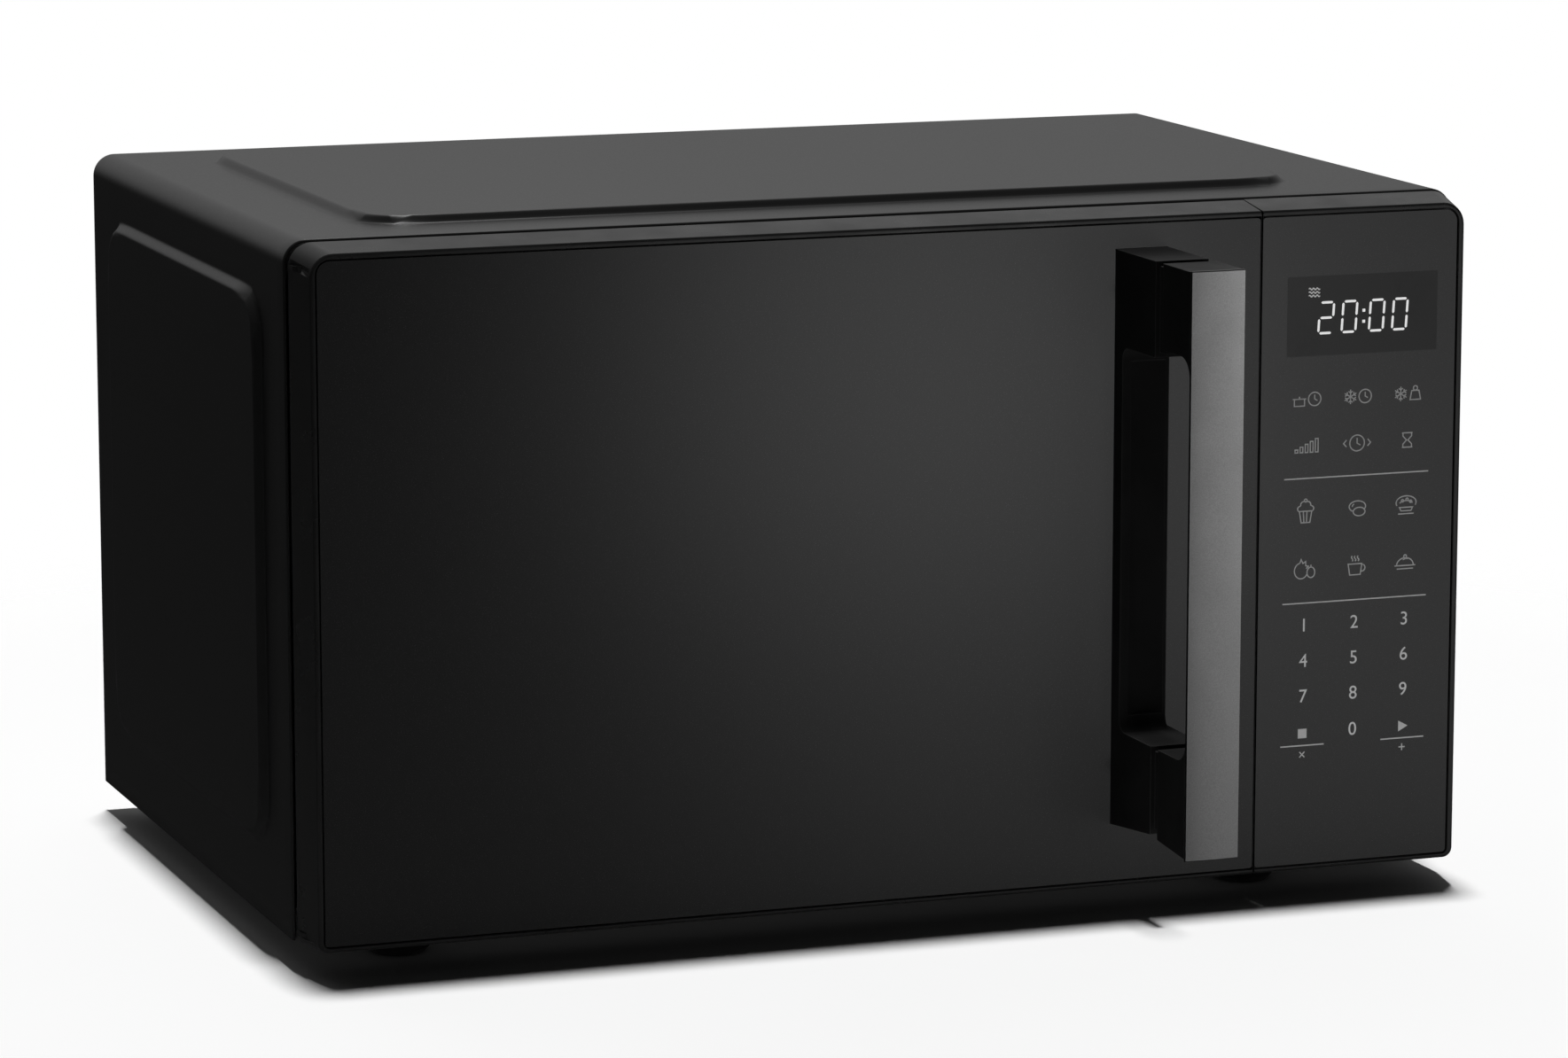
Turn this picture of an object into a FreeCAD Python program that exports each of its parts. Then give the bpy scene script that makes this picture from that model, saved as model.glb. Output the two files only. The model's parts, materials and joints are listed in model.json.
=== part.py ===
"""Countertop microwave oven with a side-hinged door, as a parametric document of separate pieces.

Frame: millimetres, +Z up, the front faces -Y, +X to the right seen from the front.
The origin is on the floor, under the middle of the whole oven.
"""
import FreeCAD, Part
import math
import os
import re
import Sketcher

DRIVING_SIZES = {
    # cabinet, flat faces without the stamped panels
    "half_width": 241.5,
    "cover_top": 281.0,
    "cover_bottom": 12.5,
    "seam_y": -106.2,
    "back_y": 193.8,
    "rear_limit_y": 201.0,
    "steel": 1.0,
    "cover_corner": 9.0,
    # stamped panels of the cover
    "stamp": 3.0,
    "stamp_corner": 22.0,
    "stamp_slope": 4.5,
    "top_stamp_left": -202.0,
    "top_stamp_right": 191.0,
    "stamp_front": -74.5,
    "stamp_back": 163.0,
    "side_stamp_low": 40.5,
    "side_stamp_high": 258.5,
    "bead_z": 18.5,
    # floor side
    "base_z": 13.0,
    "foot_radius": 12.5,
    "foot_left_x": -194.0,
    "foot_right_x": 163.0,
    "foot_front_y": -85.0,
    "foot_rear_y": 165.0,
    # front frame: door and control panel
    "rim_y": -127.0,
    "door_back_y": -108.7,
    "frame_bottom": 11.5,
    "frame_step": 0.6,
    "rim_inset_side": 3.6,
    "rim_inset_top": 2.5,
    "door_right": 149.15,
    "panel_left": 149.85,
    "glass_y": -126.6,
    "glass_side": 234.3,
    "glass_low": 13.9,
    "glass_high": 275.2,
    "glass_gap": 0.6,
    "door_glass": 3.2,
    "panel_glass": 1.8,
    # door hinge, a vertical axis near the rear left edge of the door
    "hinge_x": -236.5,
    "hinge_y": -113.7,
    "pin_radius": 2.0,
    "running_fit": 0.05,
    "leaf_low_z": 15.6,
    "leaf_high_z": 270.6,
    "leaf": 1.8,
    "pin_reach": 13.6,
    # handle
    "handle_left": 87.2,
    "handle_width": 22.0,
    "handle_low": 36.8,
    "handle_high": 265.8,
    "grip_low": 76.0,
    "grip_high": 228.5,
    "handle_front": -201.0,
    # oven cavity, inside faces
    "cavity_left": -213.0,
    "cavity_right": 117.0,
    "cavity_low": 33.0,
    "cavity_high": 249.0,
    "cavity_back": 185.0,
    "cavity_front": -106.2,
    "cavity_corner": 8.0,
    # turntable
    "table_x": -48.0,
    "table_y": 39.5,
    "tray_radius": 135.0,
    "tray_z": 49.6,
    "tray_glass": 4.0,
    "roller_radius": 8.0,
    "roller_middle": 82.0,
    "roller_width": 8.0,
    "roller_z": 41.3,
    "axle_radius": 1.5,
    # latch in the right edge of the door
    "hook_x": 141.2,
    "hook_width": 3.0,
    "low_hook_z": 75.0,
    "high_hook_z": 212.0,
    # magnetron and fan in the component bay
    "tube_y": 105.0,
    "tube_z": 202.0,
    "fan_x": 182.0,
    "fan_z": 120.0,
    "fan_radius": 45.0,
}

doc = FreeCAD.newDocument("microwave_oven")
sheet = doc.addObject("Spreadsheet::Sheet", "Dims")
for row, (alias, size) in enumerate(DRIVING_SIZES.items(), 1):
    sheet.set(f"A{row}", alias)
    sheet.set(f"B{row}", str(size))
    sheet.setAlias(f"B{row}", alias)
doc.recompute()

sub_parts = {}

AXES = {
    "x": FreeCAD.Rotation(FreeCAD.Vector(0, 1, 0), 90),
    "y": FreeCAD.Rotation(FreeCAD.Vector(1, 0, 0), -90),
    "z": FreeCAD.Rotation(),
}


def bound(expression):
    """The expression with each alias of the sheet written as the document reads it."""
    def full_name(match):
        word = match.group()
        return "Dims." + word if word in DRIVING_SIZES else word
    return re.sub(r"[A-Za-z_]\w*", full_name, str(expression))


def number(expression):
    """The value of an expression of the sheet's aliases."""
    return float(sheet.evalExpression(bound(expression)))


def bind(obj, **properties):
    for name, expression in properties.items():
        obj.setExpression(name, bound(expression))
    return obj


def place(obj, x=0, y=0, z=0):
    for letter, expression in (("x", x), ("y", y), ("z", z)):
        obj.setExpression(f"Placement.Base.{letter}", bound(expression))
    return obj


def keep(label, obj):
    """Names a finished sub-part."""
    obj.Label = label
    sub_parts[label] = obj
    return obj


# ---------- primitives, booleans and edge rounding ----------

def block(x, y, z):
    """A box from (low, high) pairs along each axis."""
    obj = doc.addObject("Part::Box", "Block")
    bind(obj, Length=f"({x[1]}) - ({x[0]})", Width=f"({y[1]}) - ({y[0]})", Height=f"({z[1]}) - ({z[0]})")
    return place(obj, x[0], y[0], z[0])


def rod(axis, radius, centre, span):
    """A cylinder along an axis; centre gives the two other coordinates in X, Y, Z order."""
    obj = doc.addObject("Part::Cylinder", "Rod")
    obj.Placement = FreeCAD.Placement(FreeCAD.Vector(), AXES[axis])
    bind(obj, Radius=radius, Height=f"({span[1]}) - ({span[0]})")
    position = list(centre)
    position.insert("xyz".index(axis), span[0])
    return place(obj, *position)


def frustum(x_front, x_rear, y, z_front, z_rear):
    """A box whose front face (low Y) and rear face differ."""
    obj = doc.addObject("Part::Wedge", "Frustum")
    return bind(obj, Xmin=x_front[0], Xmax=x_front[1], X2min=x_rear[0], X2max=x_rear[1], Ymin=y[0], Ymax=y[1],
                Zmin=z_front[0], Zmax=z_front[1], Z2min=z_rear[0], Z2max=z_rear[1])


def group(shapes):
    if len(shapes) == 1:
        return shapes[0]
    obj = doc.addObject("Part::Compound", "Group")
    obj.Links = list(shapes)
    return obj


def cut(base, *tools):
    obj = doc.addObject("Part::Cut", "Cut")
    obj.Base = base
    obj.Tool = group(tools)
    return obj


def fuse(*shapes):
    obj = doc.addObject("Part::MultiFuse", "Fuse")
    obj.Shapes = list(shapes)
    obj.Refine = True
    return obj


def direction(edge):
    """The axis letter that a straight edge mostly follows, or an empty text."""
    if not isinstance(edge.Curve, Part.Line):
        return ""
    tangent = edge.Curve.Direction
    return max("xyz", key=lambda letter: abs(getattr(tangent, letter)))


def round_edges(base, radius, wanted):
    """Rounds the edges of base for which wanted(edge, middle point) holds."""
    base.recompute(True)
    size = number(radius)
    picked = []
    for index, edge in enumerate(base.Shape.Edges, 1):
        if wanted(edge, edge.BoundBox.Center):
            picked.append((index, size, size))
    obj = doc.addObject("Part::Fillet", "Rounded")
    obj.Base = base
    obj.Edges = picked
    return obj


def rounded_block(x, y, z, axis, radius):
    """A box whose four edges along one axis are rounded."""
    return round_edges(block(x, y, z), radius, lambda edge, middle: direction(edge) == axis)


# ---------- sketched bodies ----------

def outline(body, plane_role, points, offset=0):
    """A closed, fully constrained polygon on one of the body's own origin planes."""
    sketch = body.newObject("Sketcher::SketchObject", "Outline")
    plane = next(item for item in body.Origin.OriginFeatures if item.Role == plane_role)
    sketch.AttachmentSupport = [(plane, "")]
    sketch.MapMode = "FlatFace"
    sketch.setExpression("AttachmentOffset.Base.z", bound(offset))
    corners = [FreeCAD.Vector(number(across), number(up), 0) for across, up in points]
    count = len(corners)
    for index in range(count):
        sketch.addGeometry(Part.LineSegment(corners[index], corners[(index + 1) % count]), False)
    for index in range(count):
        sketch.addConstraint(Sketcher.Constraint("Coincident", index, 2, (index + 1) % count, 1))
    for index, (across, up) in enumerate(points):
        for kind, expression in (("DistanceX", across), ("DistanceY", up)):
            size = number(expression)
            constraint = sketch.addConstraint(Sketcher.Constraint(kind, -1, 1, index, 1, size))
            sketch.setExpression(f"Constraints[{constraint}]", bound(expression))
    return sketch


def extruded(axis, points, span):
    """A prism along an axis from a polygon; points are the two other coordinates in X, Y, Z order."""
    body = doc.addObject("PartDesign::Body", "Prism")
    role = {"x": "YZ_Plane", "y": "XZ_Plane", "z": "XY_Plane"}[axis]
    offset = f"-({span[0]})" if axis == "y" else span[0]
    pad = body.newObject("PartDesign::Pad", "Pad")
    pad.Profile = outline(body, role, points, offset)
    pad.Reversed = axis == "y"
    bind(pad, Length=f"({span[1]}) - ({span[0]})")
    body.Tip = pad
    return body


def turned(points, position, axis="z"):
    """A body of revolution; points are (radius, height) and the height runs along the axis."""
    body = doc.addObject("PartDesign::Body", "Turned")
    body.Placement = FreeCAD.Placement(FreeCAD.Vector(), AXES[axis])
    turn = body.newObject("PartDesign::Revolution", "Turn")
    profile = outline(body, "XZ_Plane", points)
    turn.Profile = profile
    turn.ReferenceAxis = (profile, ["V_Axis"])
    turn.Angle = 360
    body.Tip = turn
    return place(body, *position)


# ---------- cabinet ----------

def stamped_panel(outer_low, outer_high, rotation, position):
    """One raised field of the cover: a low frustum with rounded corners, standing on its own base plane."""
    x_base = (outer_low[0], outer_high[0])
    z_base = (outer_low[1], outer_high[1])
    x_crown = (f"({x_base[0]}) + stamp_slope", f"({x_base[1]}) - stamp_slope")
    z_crown = (f"({z_base[0]}) + stamp_slope", f"({z_base[1]}) - stamp_slope")
    field = frustum(x_base, x_crown, (0, "stamp"), z_base, z_crown)
    corners = round_edges(field, "stamp_corner", lambda edge, middle: edge.BoundBox.YLength > 1)
    corners.Placement = FreeCAD.Placement(FreeCAD.Vector(), rotation)
    return place(corners, *position)


def cover_solid(inset, front, back, bottom):
    """The cover's outer form, moved in by inset on every side but the open ones."""
    side = f"half_width - ({inset})"
    top = f"cover_top - ({inset})"
    body = block((f"-({side})", side), (front, back), (bottom, top))
    box = round_edges(body, f"cover_corner - ({inset})",
                      lambda edge, middle: direction(edge) == "y" and middle.z > 200)
    up = FreeCAD.Rotation(FreeCAD.Vector(1, 0, 0), 90)
    top_field = stamped_panel(("top_stamp_left", "-stamp_back"), ("top_stamp_right", "-stamp_front"),
                              up, (0, 0, top))
    outward_left = FreeCAD.Rotation(FreeCAD.Vector(0, 0, 1), 90)
    left_field = stamped_panel(("stamp_front", "side_stamp_low"), ("stamp_back", "side_stamp_high"),
                               outward_left, (f"-({side})", 0, 0))
    outward_right = FreeCAD.Rotation(FreeCAD.Vector(0, 0, 1), -90)
    right_field = stamped_panel(("-stamp_back", "side_stamp_low"), ("-stamp_front", "side_stamp_high"),
                                outward_right, (side, 0, 0))
    return fuse(box, top_field, left_field, right_field)


REAR_SCREWS = [("half_width - 6", 60), ("-half_width + 6", 60), ("half_width - 6", 220),
               ("-half_width + 6", 220), (110, "cover_top - 6"), (-110, "cover_top - 6")]


def screw_holes(span):
    return [rod("y", 2.1, place_xz, span) for place_xz in REAR_SCREWS]


def make_cabinet():
    flange = 12
    outside = cover_solid(0, "seam_y", "back_y", "cover_bottom")
    inside = cover_solid("steel", "seam_y - 1", "back_y - steel", "cover_bottom - 1")
    rear_opening = block((f"-half_width + {flange}", f"half_width - {flange}"), ("back_y - 2", "back_y + 1"),
                         ("cover_bottom - 1", f"cover_top - {flange}"))
    shell = cut(outside, inside, rear_opening, *screw_holes(("back_y - 3", "back_y + 1")))
    beads = []
    for side in (-1, 1):
        outer = f"{side} * (half_width + 0.5)"
        inner = f"{side} * (half_width - 0.2)"
        x = (outer, inner) if side < 0 else (inner, outer)
        beads.append(block(x, ("stamp_front", "back_y - 25"), ("bead_z - 0.7", "bead_z + 0.7")))
    keep("cabinet_cover", fuse(shell, *beads))

    screws = []
    for place_xz in REAR_SCREWS:
        profile = [(0, 0), (1.9, 0), (1.9, 7), (4, 7), (4, 8.4), (3, 9.2), (0, 9.2)]
        x, z = place_xz
        screws.append(turned(profile, (x, "back_y - 7", z), "y"))
    keep("cabinet_screws", group(screws))


def sheet_panel(half, y, z):
    """An upright sheet as wide as the cover's inside, its top corners rounded to clear the cover's bends."""
    return round_edges(block((f"-({half})", half), y, z), "cover_corner",
                       lambda edge, middle: direction(edge) == "y" and middle.z > 200)


def slots(x_start, count, pitch, width, y, z):
    """A row of equal slots side by side along X."""
    return [block((f"{x_start} + {index * pitch}", f"{x_start} + {index * pitch + width}"), y, z)
            for index in range(count)]


def make_base_plate():
    side = "half_width - steel - 0.3"
    plate = block((f"-({side})", side), ("cavity_front + 0.2", "back_y - 3"), ("base_z", "base_z + steel"))
    depth_run = ("cavity_front + 0.2", "back_y - 3")
    flanges = [block((f"-({side})", f"-({side}) + steel"), depth_run, ("base_z", 25)),
               block((f"{side} - steel", side), depth_run, ("base_z", 25))]
    depth = ("base_z - 1", "base_z + 2")
    openings = slots(-160, 9, 9, 4, (-60, -20), depth) + slots(120, 9, 9, 4, (30, 60), depth)
    foot_holes = [rod("z", 4.1, (x, y), depth) for x, y, label in foot_places()]
    keep("base_plate", cut(fuse(plate, *flanges), *openings, *foot_holes))


def foot_places():
    return [("foot_left_x", "foot_front_y", "foot_front_left"),
            ("foot_right_x", "foot_front_y", "foot_front_right"),
            ("foot_left_x", "foot_rear_y", "foot_rear_left"),
            ("foot_right_x", "foot_rear_y", "foot_rear_right")]


def make_feet():
    profile = [(0, 0), ("foot_radius - 2", 0), ("foot_radius", 2), ("foot_radius", "base_z"),
               (4, "base_z"), (4, "base_z + 5"), (0, "base_z + 5")]
    for x, y, label in foot_places():
        keep(label, turned(profile, (x, y, 0)))


def make_rear_panel():
    span = ("back_y - 3", "back_y")
    inner = "half_width - steel - 0.4"
    plate = sheet_panel(inner, ("back_y - 2", "back_y - steel"), ("base_z + steel + 0.3", "cover_top - 1.6"))
    openings = [rod("y", 6.6, (214, 44), span)]
    for level in range(9):
        z = f"fan_z - 40 + {level * 9}"
        openings.append(block(("fan_x - 36", "fan_x + 36"), span, (z, f"{z} + 4")))
    for level in range(4):
        z = 225 + level * 9
        openings.append(block((-200, -130), span, (z, z + 4)))
        openings.append(block((-120, -50), span, (z, z + 4)))
    keep("rear_panel", cut(plate, *openings, *screw_holes(span)))

    pad = rounded_block((-45, 45), ("back_y - steel", "rear_limit_y"), (140, 156), "y", 4)
    keep("rear_spacer", pad)
    bushing = [(3.5, 0), (6.5, 0), (6.5, 8), (9.5, 8), (9.5, 11), (7, 16.2), (3.5, 16.2)]
    keep("cord_gland", turned(bushing, (214, "rear_limit_y - 16.2", 44), "y"))


# ---------- oven cavity and front plate ----------

def cavity_box(inset, front):
    x = (f"cavity_left - ({inset})", f"cavity_right + ({inset})")
    y = (front, f"cavity_back + ({inset})")
    z = (f"cavity_low - ({inset})", f"cavity_high + ({inset})")
    front_y = number(front)
    return round_edges(block(x, y, z), f"cavity_corner + ({inset})",
                       lambda edge, middle: abs(middle.y - front_y) > 1)


def hole_grid(centre_y, centre_z, columns, rows, pitch, radius, span):
    """A field of small round holes through a wall that faces X."""
    holes = []
    for column in range(columns):
        for row in range(rows):
            y = f"{centre_y} + {(column - (columns - 1) / 2) * pitch}"
            z = f"{centre_z} + {(row - (rows - 1) / 2) * pitch}"
            holes.append(rod("x", radius, (y, z), span))
    return holes


def make_cavity():
    wall = ("cavity_right - 1", "cavity_right + 2 * steel")
    openings = hole_grid(5, 205, 5, 8, 5, 1.6, wall) + hole_grid(-43, 160, 5, 4, 5, 1.6, wall)
    openings.append(block(wall, (44, 100), (180, 224)))
    openings.append(rod("z", 6, ("table_x", "table_y"), ("cavity_low - 3", "cavity_low + 1")))
    shell = cut(cavity_box("steel", "cavity_front"), cavity_box(0, "cavity_front - 1"), *openings)
    keep("oven_cavity", shell)
    keep("waveguide_cover", rounded_block(("cavity_right - 1", "cavity_right"), (40, 104), (176, 228), "x", 4))

    edge = "half_width - 2"
    plate = sheet_panel(edge, ("cavity_front - steel", "cavity_front"), ("base_z + 1.5", "cover_top - 2"))
    through = ("cavity_front - 2", "cavity_front + 1")
    mouth = rounded_block(("cavity_left", "cavity_right"), through, ("cavity_low", "cavity_high"), "y",
                          "cavity_corner")
    board_window = rounded_block((156, 234), through, (24, 270), "y", 4)
    latch_slots = [block((139.4, 147), through, (f"{z} - 12", f"{z} + 14"))
                   for z in ("low_hook_z", "high_hook_z")]
    keep("front_plate", cut(plate, mouth, board_window, *latch_slots))


# ---------- door ----------

def front_solid(left, right, left_inset, right_inset, back):
    """The tapered outer form of one half of the front frame, with its rounded corners."""
    solid = frustum((f"{left} + {left_inset}", f"{right} - {right_inset}"), (left, right), ("rim_y", back),
                    ("frame_bottom", "cover_top - frame_step - rim_inset_top"),
                    ("frame_bottom", "cover_top - frame_step"))
    outer_left = left_inset != "0"

    def on_outer_side(middle):
        return middle.x < number(left) + 10 if outer_left else middle.x > number(right) - 10

    high = round_edges(solid, "cover_corner", lambda edge, middle: direction(edge) == "y" and on_outer_side(middle)
                       and middle.z > 200)
    low = round_edges(high, 4, lambda edge, middle: direction(edge) == "y" and on_outer_side(middle)
                      and middle.z < 100)
    rim = number("rim_y")
    return round_edges(low, 0.8, lambda edge, middle: edge.BoundBox.YMax < rim + 0.1)


def glass_pane(x, y, z, outer_left, growth):
    """A flat pane with one larger corner radius at the outer top."""
    pane = block((f"{x[0]} - {growth}", f"{x[1]} + {growth}"), y, (f"{z[0]} - {growth}", f"{z[1]} + {growth}"))
    middle_x = (number(x[0]) + number(x[1])) / 2

    def outer_top(middle):
        return middle.z > 200 and (middle.x < middle_x) == outer_left

    big = round_edges(pane, f"5 + {growth}", lambda edge, middle: direction(edge) == "y" and outer_top(middle))
    return round_edges(big, f"1.5 + {growth}",
                       lambda edge, middle: direction(edge) == "y" and not outer_top(middle))


def hinge_clearance():
    """Room in the door for the hinge leaves and pins, and the round back edge that turns past the cabinet."""
    axis = ("hinge_x", "hinge_y")
    bore = "pin_radius + running_fit"
    low_gap = ("leaf_low_z - 0.4", "leaf_low_z + leaf + 0.4")
    high_gap = ("leaf_high_z - 0.4", "leaf_high_z + leaf + 0.4")
    tools = [rod("z", bore, axis, ("leaf_low_z", "leaf_low_z + leaf + pin_reach + 1")),
             rod("z", bore, axis, ("leaf_high_z - pin_reach - 1", "leaf_high_z + 1"))]
    for gap in (low_gap, high_gap):
        tools.append(rod("z", 6.6, axis, gap))
        tools.append(block(("hinge_x - 10", "hinge_x + 6"), ("hinge_y - 6.8", "hinge_y + 8"), gap))
    corner = block(("hinge_x - 10", "hinge_x"), ("hinge_y", "hinge_y + 10"),
                   ("frame_bottom - 1", "cover_top + 1"))
    tools.append(cut(corner, rod("z", 4.9, axis, ("frame_bottom - 2", "cover_top + 2"))))
    return tools


def make_door_frame():
    pane_x = ("-glass_side", "door_right - 0.1")
    solid = front_solid("-(half_width - frame_step)", "door_right", "rim_inset_side", "0", "door_back_y")
    recess = glass_pane(pane_x, ("rim_y - 1", "glass_y + door_glass + 0.2"), ("glass_low", "glass_high"), True,
                        "glass_gap")
    pocket = block((-228, 146.5), ("glass_y + door_glass + 2", "door_back_y + 1"), (16, 275.5))
    window = block((-222, 140), ("rim_y", "rim_y + 8"), (22, 268))
    shell = cut(solid, recess, pocket, window, *hinge_clearance())
    rib = block(("hook_x - 0.7", 147), ("glass_y + door_glass + 1.5", -112), (240, 243))
    keep("door_frame", fuse(shell, rib))

    pane = glass_pane(pane_x, ("glass_y", "glass_y + door_glass"), ("glass_low", "glass_high"), True, 0)
    screw_bores = [rod("y", 2.6, ("handle_left + handle_width / 2", z), ("glass_y - 1", "glass_y + 5"))
                   for z in (56, 247)]
    keep("door_glass", cut(pane, *screw_bores))


def make_door_inside():
    outer = block((-226, 139), (-121.2, -112.2), (20, 270))
    hollow = block((-225, 138), (-120.2, -112), (21, 269))
    inner_wall = cut(block((-201, 105), (-120.5, -112.2), (44, 241)),
                     block((-200, 104), (-121, -112), (45, 240)))
    keep("door_choke_frame", fuse(cut(outer, hollow), inner_wall))
    keep("door_inner_film", block((-203, 107), (-112, -110.6), (42, 243)))
    trim = rounded_block((-227.4, 146), (-110.4, "door_back_y"), (16.4, 275), "y", 3)
    window = rounded_block((-196, 100), (-112, -107), (50, 234), "y", 6)
    hook_slots = [block(("hook_x - 0.8", "hook_x + hook_width + 0.8"), (-112, -107),
                        (f"{z} - 9", f"{z} + 11"))
                  for z in ("low_hook_z", "high_hook_z")]
    keep("choke_cover", cut(trim, window, *hook_slots))


def make_latch():
    x = ("hook_x", "hook_x + hook_width")
    pieces = [block(x, (-119, -112.6), (62, 226))]
    for z in ("low_hook_z", "high_hook_z"):
        pieces.append(extruded("x", [(-113, f"{z} - 5"), (-97, f"{z} - 5"), (-97, f"{z} - 8"), (-95.5, f"{z} - 8"),
                                     (-92, f"{z} - 3"), (-92, f"{z} + 5"), (-113, f"{z} + 5")], x))
    keep("latch_hook", fuse(*pieces))

    helix = doc.addObject("Part::Helix", "SpringPath")
    bind(helix, Pitch=2.6, Height=12.4, Radius=2.3)
    wire_section = doc.addObject("Part::RegularPolygon", "SpringWire")
    wire_section.Polygon = 8
    wire_section.Placement = FreeCAD.Placement(FreeCAD.Vector(), AXES["y"])
    bind(wire_section, Circumradius=0.35)
    place(wire_section, 2.3, 0, 0)
    coil = doc.addObject("Part::Sweep", "Coil")
    coil.Sections = [wire_section]
    coil.Spine = (helix, ["Edge1"])
    coil.Solid = True
    coil.Frenet = True
    place(coil, "hook_x + hook_width / 2", -115.8, 226.8)
    keep("latch_spring", coil)


def make_hinges():
    axis = ("hinge_x", "hinge_y")
    for label, level, pin_side, strap in (("lower_hinge", "leaf_low_z", 1, (14.8, 44)),
                                          ("upper_hinge", "leaf_high_z", -1, (244, 273.5))):
        top = f"{level} + leaf"
        leaf = block(("hinge_x - 3.8", "hinge_x + 3.8"), ("hinge_y", "cavity_front - steel"), (level, top))
        eye = rod("z", 3.8, axis, (level, top))
        pin_span = (level, f"{top} + pin_reach") if pin_side > 0 else (f"{level} - pin_reach", top)
        pin = rod("z", "pin_radius", axis, pin_span)
        strap_plate = block(("hinge_x - 3.4", "hinge_x + 12"), ("cavity_front - 2 * steel", "cavity_front - steel"),
                            strap)
        keep(label, fuse(leaf, eye, pin, strap_plate))


def make_handle():
    x = ("handle_left", "handle_left + handle_width")
    middle = "handle_left + handle_width / 2"
    root_y = "glass_y"
    groove_y = -166
    front_block_y = -173
    strip_y = "handle_front + 2"
    plate_y = "glass_y - 8"
    side = extruded("x", [(root_y, "handle_low"), (groove_y, "handle_low + 4.2"), (groove_y, "grip_low"),
                          (plate_y, "grip_low"), (plate_y, "grip_high"), (groove_y, "grip_high"),
                          (groove_y, "handle_high"), (root_y, "handle_high")], x)
    plate = number(plate_y)
    base = round_edges(side, 5, lambda edge, point: direction(edge) == "x" and abs(point.y - plate) < 0.1)
    necks = [block(("handle_left + 2", "handle_left + handle_width - 2"), (front_block_y, -165), (43, 74)),
             block(("handle_left + 2", "handle_left + handle_width - 2"), (front_block_y, -165), (230.5, 263.8))]
    hollow = rod("z", 14.5, (middle, f"{plate_y} - 12.5"), ("grip_low + 6", "grip_high - 6"))
    bores = [rod("y", 2.05, (middle, z), (-152, -126)) for z in (56, 247)]
    relief = block(("handle_left + handle_width - 2.2", "handle_left + handle_width + 1"),
                   (f"{plate_y} - 6", "glass_y + 1"), ("grip_low", "grip_high"))
    keep("handle_base", cut(fuse(base, *necks), hollow, relief, *bores))

    lower = extruded("x", [(front_block_y, "handle_low + 3.5"), (strip_y, "handle_low + 1.5"),
                           (strip_y, "grip_low + 8"), ("handle_front + 10", "grip_low + 8"),
                           ("handle_front + 10", "grip_low"), (front_block_y, "grip_low")], x)
    keep("handle_lower_block", cut(lower, rod("x", 8, ("handle_front + 10", "grip_low + 8"), x)))
    upper = extruded("x", [(front_block_y, "handle_high"), (strip_y, "handle_high"), (strip_y, "grip_high - 4"),
                           ("handle_front + 10", "grip_high - 4"), ("handle_front + 10", "grip_high + 4"),
                           (front_block_y, "grip_high + 4")], x)
    keep("handle_upper_block", cut(upper, rod("x", 8, ("handle_front + 10", "grip_high - 4"), x)))

    bar = block(x, ("handle_front", strip_y), ("handle_low + 0.7", "handle_high + 0.3"))
    front = number("handle_front")
    keep("handle_strip", round_edges(bar, 0.6, lambda edge, point: abs(point.y - front) < 0.01))

    profile = [(0, 0), (1.4, 0), (2, 1.5), (2, 26.8), (4.5, 26.8), (4.5, 28.4), (0, 28.4)]
    keep("handle_screws", group([turned(profile, (middle, "glass_y + door_glass - 26.8", z), "y")
                                 for z in (56, 247)]))


# ---------- control panel ----------

def make_control_panel():
    pane_x = ("panel_left + 0.1", "glass_side")
    back = "door_back_y + 0.2"
    solid = front_solid("panel_left", "half_width - frame_step", "0", "rim_inset_side", back)
    recess = glass_pane(pane_x, ("rim_y - 1", "glass_y + panel_glass + 0.2"), ("glass_low", "glass_high"), False,
                        "glass_gap - 0.05")
    pocket = block((152.4, 238), ("glass_y + panel_glass + 2", "door_back_y + 1"), (16, 275.5))
    window = block((157, 230), ("rim_y", "rim_y + 8"), (40, 255))
    bosses = [rod("y", 3, (x, z), ("glass_y + panel_glass + 1.5", "cavity_front - steel"))
              for x in (153.5, 234.4) for z in (30, 150, 264)]
    keep("control_frame", fuse(cut(solid, recess, pocket, window), *bosses))
    keep("control_glass", glass_pane(pane_x, ("glass_y", "glass_y + panel_glass"), ("glass_low", "glass_high"),
                                     False, 0))
    behind = "glass_y + panel_glass"
    keep("touch_sensor", block((159, 229), (behind, f"{behind} + 0.5"), (52, 212)))
    housing = block((160, 228), (behind, f"{behind} + 6"), (218, 253))
    pins = [rod("y", 0.6, (x, z), (f"{behind} + 6", -117.6)) for x in (170, 190, 210) for z in (222, 249)]
    keep("display_module", fuse(housing, *pins))
    board = block((158, 231), (-117.6, -116), (34, 260))
    parts = [block((166, 184), (-116, -100), (60, 88)), block((190, 206), (-116, -101), (60, 80)),
             block((210, 226), (-116, -101), (60, 80)), block((180, 200), (-116, -112), (150, 170)),
             rod("y", 5, (215, 110), (-116, -98)), rod("y", 4, (170, 115), (-116, -100)),
             block((164, 224), (-116, -110), (236, 246))]
    keep("control_board", fuse(board, *parts))


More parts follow.
